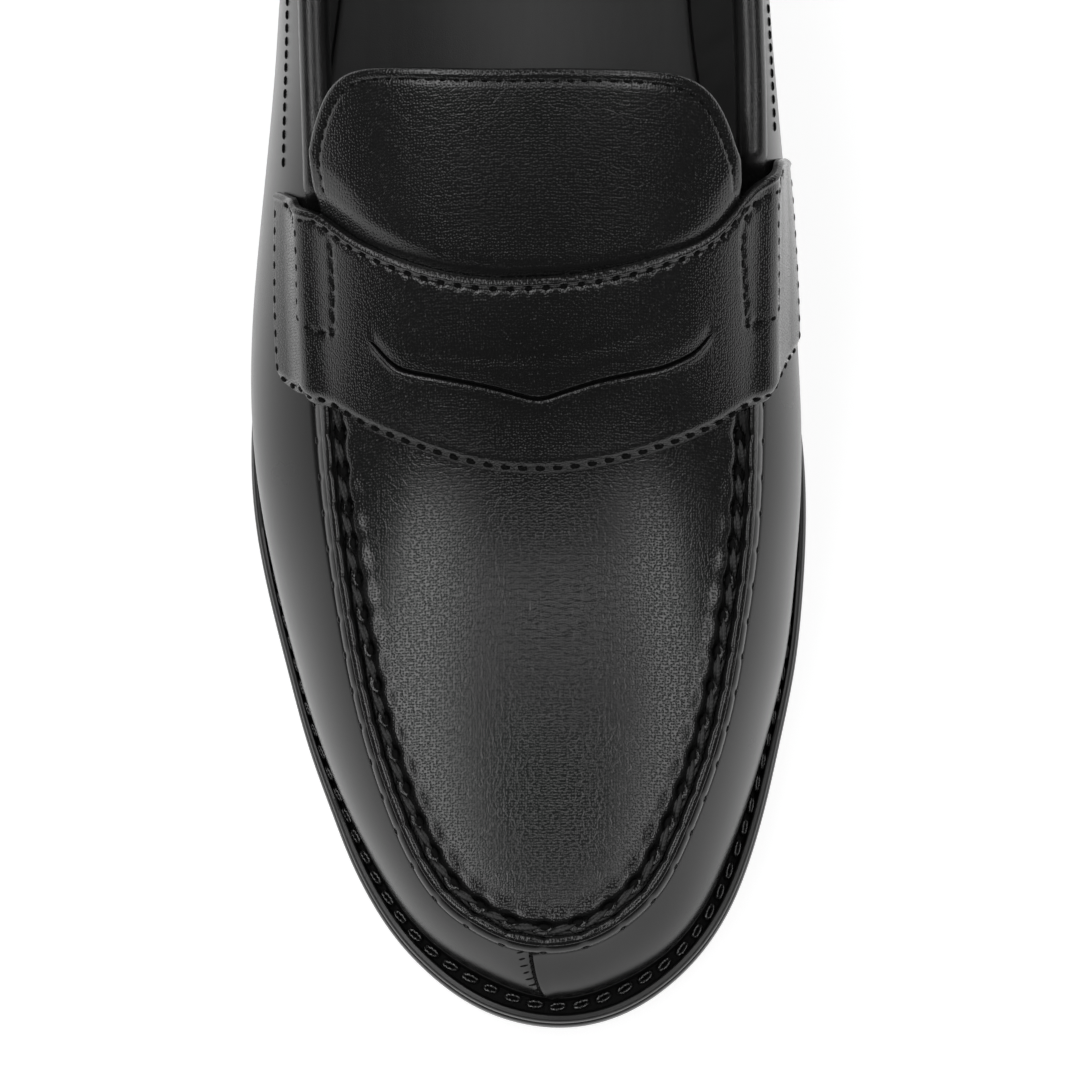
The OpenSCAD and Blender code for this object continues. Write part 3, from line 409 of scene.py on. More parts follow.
def outsole():
    prof = [(12, 0), (7.2, 0), (6.6, 0), (6.35, 0.22), (6.1, 0.22), (5.85, 0), (5.2, 0), (2.2, 0), (1.3, 0.02), (0.75, 0.12), (0.38, 0.32), (0.14, 0.62),
            (0.02, 1.05), (-0.06, 1.8), (-0.08, 2.6), (-0.05, 3.4), (0.03, 4.05), (0.16, 4.45), (0.38, 4.75), (0.7, 4.92), (1.2, 4.95), (3.5, 4.95), (12, 4.95)]
    rows, zs, tag = [], [], []
    bot = spine_fill(ring_edge(-12), 9)[::-1]
    for r in bot: rows.append(r); zs.append(zb(r[:, 1])); tag.append(0)
    for o, h in prof:
        r = ring_edge(-o); rows.append(r); zs.append(zb(r[:, 1]) + h); tag.append(0 if h < 0.35 else 1)
    for r in spine_fill(ring_edge(-12), 9): rows.append(r); zs.append(zb(r[:, 1]) + 4.95); tag.append(1)
    G = lay(np.array(rows), np.array(zs)); n, m = G.shape[:2]; F = grid_faces(n, m, wj=True)
    t = np.array(tag)[np.repeat(np.arange(n - 1), m)]
    flat = np.array(rows); W = guv(G); uv = np.where(((np.array(tag) == 0) | (np.arange(n) > n - 12))[:, None, None], flat, W[..., ::-1])
    return build("outsole_piece", G, [F], [M["bottom"], M["edge"]], uv=uv, mi=[t], weld=0.002, slot="sole_leather", rep=["outsole"])
outsole()

S_BL, S_BM = 8 + (BREAST - 85) / 15, None
def s_at(side, l):
    s = np.linspace(12, 23, 400) if side < 0 else np.linspace(34, 23, 400); return float(np.interp(l, cr(s)[:, 1], s))
sbl, sbm = s_at(-1, BREAST), s_at(1, BREAST)

WP = 4.4
def welt():
    s = np.linspace(sbm - NS, sbl, 2300); r = cr(s); n2 = outn(s); W = r[:, 2] - 0.5
    P0 = r[:, :2]; L = arclen(np.c_[P0 + n2 * (W * 0.5)[:, None], 0 * s])
    dp = 1.7 * sstep(1.25, 2.4, W); ci = np.minimum(0.35, 0.2 * W); co_ = W - np.minimum(1.35, 0.45 * W)
    fl = 3.2 - dp
    sec = [(-3.4 + 0 * W, 0 * W), (W - 0.3, 0 * W), (W - 0.06, 0.22 + 0 * W), (W, 0.7 + 0 * W), (W + 0.02, 1.6 + 0 * W), (W - 0.02, 2.3 + 0 * W), (W - 0.14, 2.72 + 0 * W), (W - 0.36, 2.98 + 0 * W),
           (W - 0.62, 3.1 + 0 * W), ((W - 0.62) * 0.35 + co_ * 0.65, 3.16 + 0 * W), (co_ + 0.16, 3.22 + 0 * W), (co_ + 0.04, 3.18 + 0 * W), (co_ - 0.10, 3.0 - dp * 0.2), (co_ - 0.2, fl + dp * 0.3), (co_ - 0.4, fl + 0 * W),
           ((co_ + ci) / 2 + 0.1, fl - 0.1), (ci + 0.3, fl + 0 * W), (ci + 0.12, fl + dp * 0.4), (ci, 3.0 - dp * 0.2), (ci - 0.12, 3.22 + 0 * W), (-0.2 + 0 * W, 3.25 + 0 * W), (-3.4 + 0 * W, 3.2 + 0 * W)]
    E = np.stack([a for a, b in sec], 1); H = np.stack([b for a, b in sec], 1)
    XY = P0[:, None] + n2[:, None] * E[..., None]; R = lay(XY, zb(XY[..., 1]) + OUT_T + H)
    # the channel faces (section rows 12 to 18) get the near-black matte material: painted shade in the stitch channel
    sm = np.zeros(len(sec), int); sm[12:19] = 1
    sweep("welt_piece", R, [M["welt"], M["black"]], secmat=sm, slot="welt_leather", rep=["welt"], angle=50)
    # stitches in the channel
    mid = ci + np.minimum(1.25, 0.5 * (co_ - ci)); XY = P0 + n2 * mid[:, None]; pts = lay(XY, zb(XY[:, 1]) + OUT_T + fl + 0.35); ok = W > 1.7
    lab = np.where(np.diff(np.concatenate([[0], ok.astype(int), [0]])) != 0)[0]; C, NN = [], []
    for a, b in zip(lab[::2], lab[1::2]):
        p = pts[a:b]; o = (-L[a] / WP) % 1.0 * WP; k = int((L[b - 1] - L[a] - o) // WP); q = np.linspace(-1, 1, 13)
        wd = np.interp(L[a] + np.arange(k) * WP, L, np.minimum(1, (co_ - ci) / 2.4)); Lp = L[a:b] - L[a]
        for i in range(k):
            jit = rng.normal(0, 1, 3); ln = 1.28 + 0.06 * jit[2]
            for e in (-1, 1):
                w = np.sin(q * math.pi / 2); u = o + (i + 0.5) * WP + w * ln + 0.05 * jit[1]; br = np.cos(q * math.pi / 2) ** 0.8
                c = np.stack([np.interp(u, Lp, p[:, z_]) for z_ in range(3)], -1); t = unit(np.gradient(c, axis=0)); sd = np.stack([-t[:, 1], t[:, 0], 0 * t[:, 0]], -1)
                C.append(c + sd * (e * 0.52 * wd[i] * br + 0.16 * w)[:, None] + np.array([0, 0, 1.0]) * (0.45 * br ** 0.5 - 0.22 + 0.08 * jit[0])[:, None]); NN.append(np.tile([0, 0, 1.0], (13, 1)))
    tubes("welt_stitches", C, NN, 0.38, [M["wax"]], slot="thread", rep=["welt_stitching"], k=9)
welt()

def heel_outline(o, n=260):
    """closed outline (x, l) of the heel behind the breast, moved outwards by o"""
    s = np.linspace(sbl, sbm, n); P = foot(s, cr(s)[:, 2] + o); P = P[P[:, 1] > BREAST + 0.2]
    a, b = P[0].copy(), P[-1].copy(); q = np.linspace(0, 1, 40)[1:-1, None]; front = b + (a - b) * q
    front[:, 1] = BREAST + 0.2 + 2.2 * (1 - (2 * q[:, 0] - 1) ** 2) * 1.0            # the breast is cut slightly hollow
    a2 = P[0] + np.array([0, 0]); ring = np.concatenate([P, front]); return ring

def slab_ring(name, outline, z0, z1, mats, rb=0.25, rt=0.25, bulge=0.0, ztop=None, **kw):
    c = outline.mean(0); n = len(outline); t = unit(np.roll(outline, -1, 0) - np.roll(outline, 1, 0)); nn = np.stack([t[:, 1], -t[:, 0]], -1)
    if ((outline - c) * nn).sum() < 0: nn = -nn
    zt = (lambda p: np.full(len(p), z1)) if ztop is None else ztop
    secs = [(-3.0, 0, 0), (-rb, 0, 0), (-rb * 0.3, 0, rb * 0.3), (0, 0, rb), (bulge, 0.5, 0), (0, 1, -rt), (-rt * 0.3, 1, -rt * 0.3), (-rt, 1, 0), (-3.0, 1, 0)]
    rows = []
    for o, f, d in secs:
        p = outline + nn * o; z = z0 + (zt(p) - z0) * f + d; rows.append(lay(p, z))
    G = np.array(rows); k, m = G.shape[:2]; F = [grid_faces(k, m, wj=True)]
    V = np.concatenate([G.reshape(-1, 3), [[c[0], c[1] - YO, z0], [c[0], c[1] - YO, float(zt(c[None])[0])]]]); j = np.arange(m)
    F += [np.stack([j, (j + 1) % m, np.full(m, k * m)], -1), np.stack([(k - 1) * m + (j + 1) % m, (k - 1) * m + j, np.full(m, k * m + 1)], -1)]
    U = guv(G)[..., ::-1]; U[0] = G[0, :, :2]; U[-1] = G[-1, :, :2]
    uv = np.concatenate([U.reshape(-1, 2), V[-2:, :2]])
    return build(name, V, F, mats, uv=uv, **kw)

slab_ring("heel_lift_1", heel_outline(-0.2), TOP_T + 0.05, TOP_T + 5.3, [M["stack"]], slot="heel_leather", rep=["heel_lift_lower"])
slab_ring("heel_lift_2", heel_outline(-0.2), TOP_T + 5.35, TOP_T + 10.6, [M["stack"]], slot="heel_leather", rep=["heel_lift_middle"])
slab_ring("heel_lift_3", heel_outline(-0.2), TOP_T + 10.65, 24, [M["stack"]], ztop=lambda p: zb(p[:, 1]) - 0.06, slot="heel_leather", rep=["heel_lift_upper"])
NAILS = [[-20,240],[-23,258],[-18,276],[0,288],[18,276],[23,258],[20,240]]
def top_piece():
    ob = slab_ring("heel_top_rubber", heel_outline(-0.3), 0.0, TOP_T, [M["rubber"]], rb=0.5, rt=0.3, slot="heel_rubber", rep=["heel_top_piece"])
    V, F3, F4, base = [], [], [], 0
    for x, l in NAILS:
        a = 2 * np.pi * np.arange(28) / 28; prof = [(1.2, 2.6), (1.2, 0.15), (1.08, -0.02), (0.8, -0.1), (0.45, -0.14)]
        prof = [(q, max(z, -0.0) if z > 0 else 0.02 - 0.02 * (1.2 - q)) for q, z in prof]
        R = np.array([np.stack([x + q * np.cos(a), l - YO + q * np.sin(a), 0 * a + z], -1) for q, z in prof])
        V += [R.reshape(-1, 3)]; F4.append(grid_faces(len(prof), 28, wj=True, base=base)); F3 += [base + np.arange(28)[None, ::-1], base + (len(prof) - 1) * 28 + np.arange(28)[None]]; base += R.shape[0] * 28
    build("heel_nail_heads", np.concatenate(V), F4 + F3, [M["brass"]], slot="nail_brass", rep=["heel_nails"])
top_piece()

def rand():
    s = np.linspace(sbl + 0.012, sbm - 0.012, 420); r = cr(s); n2 = outn(s); W = r[:, 2] - 0.5
    sec = [(-3.4, 0), (-0.25, 0), (-0.05, 0.2), (0.0, 0.6), (0.04, 1.5), (0.0, 2.4), (-0.08, 2.75), (-0.3, 3.02), (-0.55, 3.12), (-0.8, 3.15), (-1.2, 3.2), (-3.4, 3.2)]
    XY = np.stack([r[:, :2] + n2 * (W + e if e > -3 else 0 * W + e)[:, None] for e, h in sec], 1)
    R = lay(XY, zb(XY[..., 1]) + OUT_T + np.array([h for e, h in sec])); sweep("heel_rand_piece", R, [M["welt"]], slot="welt_leather", rep=["heel_rand"])
rand()

# ------------------------------------------------------------------ walls of the upper
LEA = 1.5
SQ, SMQ = 8 + (128 - 85) / 15, 38 - (128 - 85) / 15
def seam_s(t): return 0.05 + 0.52 * t

def tgrid(n, a=0.0, b=1.0): return a + (b - a) * np.linspace(0, 1, n)
def wall_piece(name, s0, s1, ns, body="shoe", lap=0, rep=(), t1=1.0):
    t = tgrid(44, 0, t1); f = np.linspace(0, 1, ns)
    if lap: f = np.where(lap > 0, 1 - (1 - f) ** 1.0, f)
    a, b = (s0(t) if callable(s0) else np.full_like(t, s0)), (s1(t) if callable(s1) else np.full_like(t, s1))
    S = a[None] + (b - a)[None] * f[:, None]; G = wall(S, np.broadcast_to(t, S.shape)); N = normals(G)
    hi = np.zeros(S.shape); lo = hi - LEA
    if lap:
        d = np.linalg.norm(G - wall(np.broadcast_to(seam_s(t), S.shape), np.broadcast_to(t, S.shape)), axis=-1)
        side = 1 if lap > 0 else -1
        if lap > 0: hi = hi + 0.50 * gauss(d, 1.5) - roundover(d, 0.6)
        else: hi = hi - 0.55 * gauss(d, 0.55) * (S > seam_s(t)[None])
    hi = hi - 0.3 * sstep(0.975, 1.0, np.broadcast_to(t, S.shape)) * (t1 > 0.99) * (0 if "quarter" in name else 1)
    uv = np.stack([S * 15, np.broadcast_to(t * 45, S.shape)], -1)
    L = np.cumsum(np.concatenate([np.zeros((1,)), np.linalg.norm(np.diff(G[:, 14], axis=0), axis=-1)])); uv[..., 0] = L[:, None]
    return shell(name, G, lo, hi, [M["smooth"]], uv=uv, N=N, slot="upper_leather", rep=rep)

wall_piece("vamp_outer_wall", lambda t: seam_s(t) - 0.06, SQ, 330, lap=-1, rep=["vamp_lateral"])
wall_piece("vamp_inner_wall", SMQ, lambda t: NS + seam_s(t), 330, lap=1, rep=["vamp_medial"])
wall_piece("quarter_outer", SQ, 22.985, 330, rep=["quarter_lateral"])
wall_piece("quarter_inner", 23.015, SMQ, 330, rep=["quarter_medial"])

def on_wall(s, t, off=0.0):
    h = 0.004; P = wall(s, t); N = unit(np.cross(wall(s, np.asarray(t) + h) - wall(s, np.asarray(t) - h), wall(np.asarray(s) + h, t) - wall(np.asarray(s) - h, t)))
    return P + N * np.asarray(off)[..., None] if np.ndim(off) else P + N * off, N

# toe seam: a row of slanting stitches beside the joint, and black thread pressed into the joint itself
def toe_seam():
    C, NN = [], []; w = np.linspace(-1, 1, 9); r9 = np.array([0.25, 0.7, 0.95, 1, 1, 1, 0.95, 0.7, 0.25])
    for q in np.linspace(0.10, 0.95, 9):
        j = rng.normal(0, 1, 2); ds = 0.05 + 0.21 * q ** 1.3
        P, Nq = on_wall(NS + seam_s(q + 0.022 * w) + ds - (0.055 + 0.006 * j[0]) * w * -1, np.clip(q - 0.030 * w, 0.02, 0.985), -0.06); C.append(P); NN.append(Nq)
    for q in np.linspace(0.05, 0.97, 12):
        P, Nq = on_wall(NS + seam_s(q) + 0.012 + 0.02 * w, np.clip(q - 0.034 * w, 0.02, 0.99), -0.02); C.append(P); NN.append(Nq)
    tubes("toe_seam_stitches", C, NN, 0.30 * r9, [M["thread2"]], slot="thread", rep=["toe_seam_stitching"], k=8, flat=0.5)
toe_seam()

# back strap over the heel seam
def back_strap():
    s = np.linspace(22.52, 23.48, 60); t = np.linspace(0.02, 1.0, 70); G = wall(*np.meshgrid(s, t, indexing="ij")); N = normals(G)
    d0 = np.linalg.norm(G - G[:1], axis=-1); d1 = np.linalg.norm(G - G[-1:], axis=-1); e = np.minimum(d0, d1)
    P = np.concatenate([on_wall(22.52 + 0.06 + 0 * t, t, 1.2)[0], on_wall(23.48 - 0.06 + 0 * t, t, 1.2)[0]]); g = gauss(near(G + N * 1.2, P), 0.5)
    hi = 1.3 - roundover(e, 0.45) - 0.16 * g
    shell("back_strap_piece", G, 0.02, hi, [M["smooth"]], N=N, slot="upper_leather", rep=["back_strap"])
    C, NN = [], []
    for ss in (22.585, 23.415):
        p, n_ = on_wall(ss + 0 * t, t, 1.15); c, nn, _ = stitches(p, n_, 2.6, 2.0, 0.2); C.append(c); NN.append(nn)
    tubes("back_strap_stitches", np.concatenate(C), np.concatenate(NN), 0.25, [M["thread2"]], slot="thread")
back_strap()

# ------------------------------------------------------------------ pinched seam round the apron
SRA, SRB = float(sL(1, 112)) - NS, float(sL(-1, 112))
HP = 6.4                                                # pitch of the hand stitches
rs = np.linspace(SRA, SRB, 1500); railL = arclen(np.c_[rail(rs, 3.6), 0 * rs]); NH = int(railL[-1] // HP); u0 = (railL[-1] - NH * HP) / 2
rs = np.interp(np.linspace(0, railL[-1], 1300), railL, rs); railL = np.linspace(0, railL[-1], 1300)
jitter = rng.normal(0, 1, (NH + 3, 6))
def phase(u): return ((u - u0) / HP) % 1.0
def pinch(u, w=0.13): p = phase(u); return gauss(np.minimum(p, 1 - p), w)

def rail_sec(sec, amp=None):
    """cross sections along the rail: sec rows of (inward, up)"""
    E = np.array([a for a, b in sec]); H = np.array([b for a, b in sec])
    E = np.broadcast_to(E, (len(rs), len(E))).copy(); H = np.broadcast_to(H, (len(rs), H.shape[0])).copy()
    if amp is not None: E, H = amp(E, H)
    XY = rail(rs[:, None] + 0 * E, E); return lay(XY, Z(XY[..., 0], XY[..., 1]) + H)

wob = (0.06 * np.sin(railL / 7.3) + 0.05 * np.sin(railL / 3.1 + 1))[:, None]
pn = pinch(railL)[:, None]
def amp_lip(E, H):
    top = sstep(0.2, 1.4, H); low = sstep(1.0, 0.1, E) * sstep(-0.3, 0.3, H); return E + top * (0.08 * pn) + low * 0.16 * pn, H + top * (wob * 0.6 - 0.14 * pn)
sweep("seam_lip", rail_sec([(-0.10,-1.2),(-0.20,-0.5),(-0.24,0.1),(-0.16,0.65),(0.02,1.12),(0.28,1.5),(0.6,1.74),(0.95,1.86),(1.3,1.86),(1.4,1.6),(1.4,-1.2)], amp_lip), [M["smooth"]], slot="upper_leather", angle=60)
def amp_bead(E, H):
    top = sstep(0.2, 1.6, H); inn = sstep(1.2, 2.6, E); return E - inn * (0.22 * pn), H + top * (wob * 0.6 - 0.14 * pn) - inn * 0.12 * pn
sweep("apron_ridge_piece", rail_sec([(0.90,-0.8),(0.86,1.0),(0.84,1.66),(0.88,1.86),(1.02,1.95),(1.3,2.04),(1.65,2.06),(2.0,1.95),(2.3,1.7),(2.52,1.3),(2.62,0.8),(2.64,0.1),(2.6,-0.9)], amp_bead), [M["grain"]], slot="grain_leather", rep=["apron_ridge"], angle=60)

def apron():
    oo = np.concatenate([np.arange(2.55, 5.8, 0.19), np.arange(5.8, 10.2, 0.45)]); k2 = 30
    A = rail(rs[None] + 0 * oo[:, None], oo[:, None] + 0 * rs[None])                     # (rows, n, 2)
    base = A[-1]; n = len(base); mir = base[::-1]
    l = (base[:, 1] + mir[:, 1]) / 2; x = (base[:, 0] + mir[:, 0]) / 2; lc = np.maximum(l, 40.0); half = n // 2
    xs = np.interp(lc[:half + 1], l[:half + 1][::-1], x[:half + 1][::-1]); xs = np.concatenate([xs, xs[: n - half - 1][::-1]])
    lc = np.concatenate([lc[:half + 1], lc[: n - half - 1][::-1]])
    end = np.stack([xs, lc], -1); a = (np.arange(1, k2 + 1) / k2)[:, None, None]; B = base[None] * (1 - a) + end[None] * a
    XY = np.concatenate([A, B]); G = lay(XY, Z(XY[..., 0], XY[..., 1]))
    # true normals of the crest surface
    h = 0.05; gx = (Z(XY[..., 0] + h, XY[..., 1]) - Z(XY[..., 0] - h, XY[..., 1])) / (2 * h); gl = (Z(XY[..., 0], XY[..., 1] + h) - Z(XY[..., 0], XY[..., 1] - h)) / (2 * h)
    N = unit(np.stack([-gx, -gl, 1 + 0 * gx], -1))
    O = np.concatenate([np.broadcast_to(oo[:, None], A.shape[:2]), np.full(B.shape[:2], 99.0)]); U = np.broadcast_to(railL, O.shape)
    hi = np.zeros(O.shape)
    hi += -0.75 * (1 - sstep(3.4, 5.4, O)) + 0.26 * gauss(O - 5.9, 1.0)
    p = phase(U); near0 = np.minimum(p, 1 - p) * HP
    hole = gauss(near0, 1.05) * gauss(O - 4.45 , 0.55)
    hi += -1.5 * hole - 0.20 * gauss(near0, 1.5) * gauss(O - 5.4, 1.0) + 0.07 * np.cos(2 * np.pi * (p - 0.5)) * gauss(O - 5.9, 1.2)
    lo = np.full(O.shape, -LEA) - 0.75 * (1 - sstep(3.0, 5.6, O))
    uv = np.stack([XY[..., 0], XY[..., 1]], -1)
    return shell("apron_piece", G, np.minimum(lo, hi - 0.4), hi, [M["grain"]], uv=uv, N=N, weld=0.004, last=False, slot="grain_leather", rep=["apron"], angle=75)
apron()

def hand_stitches():
    """flat leaf-shaped strands that cross the groove, and a black ellipse of painted shade in every hole"""
    C, NN, Rr = [], [], []; up = np.array([0, 0, 1.0]); w = np.linspace(-1, 1, 13); body_ = np.clip(1 - np.abs(w) ** 2.4, 0.06, 1) ** 0.8
    for k in range(NH):
        c = u0 + (k + 0.5) * HP; j = jitter[k]
        for o0, sl, ln, wd_, dz in ((3.75, -0.50, 2.75, 0.50, 0.10), (3.35, 0.45, 2.3, 0.36, -0.06), (4.30, -0.25, 1.7, 0.30, -0.10)):
            u = c + w * (ln + 0.08 * j[0]) + 0.15 * j[1]; s_ = np.interp(u, railL, rs); xy = rail(s_, o0 + sl * w + 0.05 * j[2])
            C.append(lay(xy, Z(xy[:, 0], xy[:, 1]) - 0.30 + dz + 0.24 * (1 - w * w) - 0.35 * np.abs(w) ** 3)); NN.append(np.tile(up, (13, 1))); Rr.append(wd_ * body_)
    tubes("apron_hand_stitches", C, NN, np.array(Rr), [M["thread"]], slot="thread", rep=["apron_stitching"], k=10, flat=0.42)
    # black ellipses sunk in the holes: painted shade inside the stitch holes
    C, NN = [], []
    for k in range(NH + 1):
        u = u0 + k * HP + w * 1.15; s_ = np.interp(u, railL, rs); xy = rail(s_, 4.45 + 0 * w); C.append(lay(xy, Z(xy[:, 0], xy[:, 1]) - 1.05)); NN.append(np.tile(up, (13, 1)))
    tubes("seam_holes", C, NN, 0.62 * body_, [M["black"]], slot="thread", k=10, flat=0.4)
    # outer ends of the same stitches, seen as short beads in the crease below the ridge
    C, NN = [], []
    for k in range(NH + 1):
        u = u0 + k * HP + np.linspace(-1, 1, 7) * 0.55; s = np.interp(u, railL, rs); xy = rail(s, -0.2 - 0.14 * (1 - np.linspace(-1, 1, 7) ** 2)); C.append(lay(xy, Z(xy[:, 0], xy[:, 1]) + 0.12)); NN.append(np.tile(up, (7, 1)))
    tubes("seam_outer_stitches", C, NN, 0.17, [M["thread"]], slot="thread", k=6)
hand_stitches()

# ------------------------------------------------------------------ saddle strap
SO, ST_T = 0.95, 1.4
def strap_xy(v, l): return across(v, l)
def slit_l(x): return np.interp(x, [p[0] for p in SLIT], [p[1] for p in SLIT])
def strap():
    # columns
    v = np.unique(np.concatenate([np.linspace(-2, -1.2, 70), np.linspace(-1.2, -0.6, 80), np.linspace(-0.6, 0.6, 200), np.linspace(0.6, 1.2, 80), np.linspace(1.2, 2, 80)]))
    F_, R_ = cub(SE, v, 1), cub(SE, v, 2)
    xm = across(v, (F_ + R_) / 2)[:, 0]
    a = cr(sL(-1, 110.0)); b = cr(sL(1, 110.0)); xs = a[3] + (b[3] - a[3]) * (np.clip(v, -1, 1) + 1) / 2
    inside = (np.abs(v) <= 1)
    SM = F_ + (R_ - F_) * 0.5
    x0, x1 = SLIT[0][0], SLIT[-1][0]
    sl = slit_l(xs); w_in = sstep(x0 - 9, x0, xs) * (1 - sstep(x1, x1 + 9, xs))
    SLl = np.where(inside, sl * w_in + SM * (1 - w_in), SM)
    gap = 0.24 * sstep(x0, x0 + 1.2, xs) * (1 - sstep(x1 - 1.2, x1, xs)) * inside
    ed = np.array([0, 0.06, 0.15, 0.28, 0.45, 0.65, 0.85, 1.05, 1.2, 1.35, 1.5, 1.65, 1.8, 1.95, 2.1, 2.4, 2.8, 3.4])
    es = np.array([0, 0.06, 0.15, 0.28, 0.45, 0.7, 1.0, 1.5, 2.2])
    def rows(l0, l1, e0, e1, k=16):
        out = [l0 + e for e in e0]; mid0, mid1 = l0 + e0[-1], l1 - e1[-1]
        out += [mid0 + (mid1 - mid0) * q for q in np.linspace(0, 1, k + 2)[1:-1]]; out += [l1 - e for e in e1[::-1]]; return np.array(out)
    LA = rows(F_, SLl - gap, ed, es); LB = rows(SLl + gap, R_, es, ed)
    parts = []
    for tag, L in (("A", LA), ("B", LB)):
        G = across(np.broadcast_to(v, L.shape), L); parts.append(G)
    # smooth the corner where the strap turns from the crest onto the wall, over the seam below it
    V2 = np.broadcast_to(v, LA.shape)
    def finish_part(G, L, edge_f, edge_r):
        N = normals(G)
        for _ in range(50):
            N[:, 1:-1] = unit(N[:, :-2] + 2 * N[:, 1:-1] + N[:, 2:])
        for _ in range(60): G[:, 1:-1] = (G[:, :-2] + 2 * G[:, 1:-1] + G[:, 2:]) / 4
        dx = np.abs(np.abs(np.broadcast_to(v, L.shape)) - 1.0)
        arc = np.abs(np.cumsum(np.concatenate([np.zeros((L.shape[0], 1)), np.linalg.norm(np.diff(G, axis=1), axis=-1)], 1), 1))
        out = np.zeros(L.shape)
        for side in (-1, 1):
            j = np.argmin(np.abs(v - side)); out += 1.05 * gauss(arc - arc[:, j:j + 1] + side * 0.6, 3.1)
        return G, N, out, arc
    return v, F_, R_, SLl, gap, LA, LB, parts, finish_part, xs
v, F_, R_, SLl, gap, LA, LB, parts, finish_part, xs_ = strap()

# paths of the strap's stitch rows: (v, l) polylines
def edge_dist_path(which, d, v0, v1, n=500):
    vv = np.linspace(v0, v1, n); l = cub(SE, vv, 1) + d if which == 1 else cub(SE, vv, 2) - d; return vv, l
def strap_surface(vv, ll, off):
    h = 0.01; P = across(vv, ll); a = across(np.clip(vv + h, -2, 2), ll); b = across(np.clip(vv - h, -2, 2), ll); c = across(vv, ll + 0.2); d = across(vv, ll - 0.2)
    N = unit(np.cross(a - b, c - d)); N = smooth_rows(N, 6); N = unit(N)
    return P + N * off, N
def box_path(side):
    """stitched box at the end of the strap, in (v, l)"""
    f = lambda v_, u: (v_, cub(SE, v_, 1) + (cub(SE, v_, 2) - cub(SE, v_, 1)) * u)
    q = [(0.86, 0.94), (0.93, 0.955), (1.1, 0.955), (1.3, 0.95), (1.6, 0.955), (1.3, 0.945), (1.05, 0.94), (0.99, 0.9), (0.99, 0.69), (1.0, 0.45), (0.97, 0.41), (0.92, 0.40), (0.86, 0.43), (0.85, 0.68), (0.855, 0.92)] if side < 0 else \
        [(0.86, 0.90), (0.93, 0.93), (1.05, 0.94), (1.3, 0.95), (1.05, 0.93), (1.0, 0.88), (1.0, 0.75), (1.04, 0.5), (1.04, 0.40), (0.99, 0.38), (0.88, 0.41), (0.87, 0.58), (0.86, 0.78), (0.86, 0.88)]
    pts = np.array([(float(a), float(b)) for a, b in (f(side * x_, y_) for x_, y_ in q)]); t_ = np.linspace(0, len(pts) - 1, 900)
    return np.interp(t_, np.arange(len(pts)), pts[:, 0]), np.interp(t_, np.arange(len(pts)), pts[:, 1])

def taper(v): return 1 - sstep(1.05, 1.6, np.abs(v)) * np.where(v < 0, 0.55, 0.85)                  # the strap lies closer towards its ends
rowsP = []
for which, d, v0, v1 in ((1, 1.2, -1.95, 1.95), (2, 1.5, -0.9, 0.88)):
    vv, ll = edge_dist_path(which, d, v0, v1); rowsP.append(strap_surface(vv, ll, SO + ST_T))
for side in (-1, 1):
    vv, ll = box_path(side); rowsP.append(strap_surface(vv, ll, SO + ST_T))
    ve = 1.93 if side < 0 else 1.955; vv = np.full(200, ve * side); ll = np.linspace(float(cub(SE, ve * side, 1)) + 1.4, float(cub(SE, ve * side, 2)) - 1.2, 200); rowsP.append(strap_surface(vv, ll, SO + ST_T))

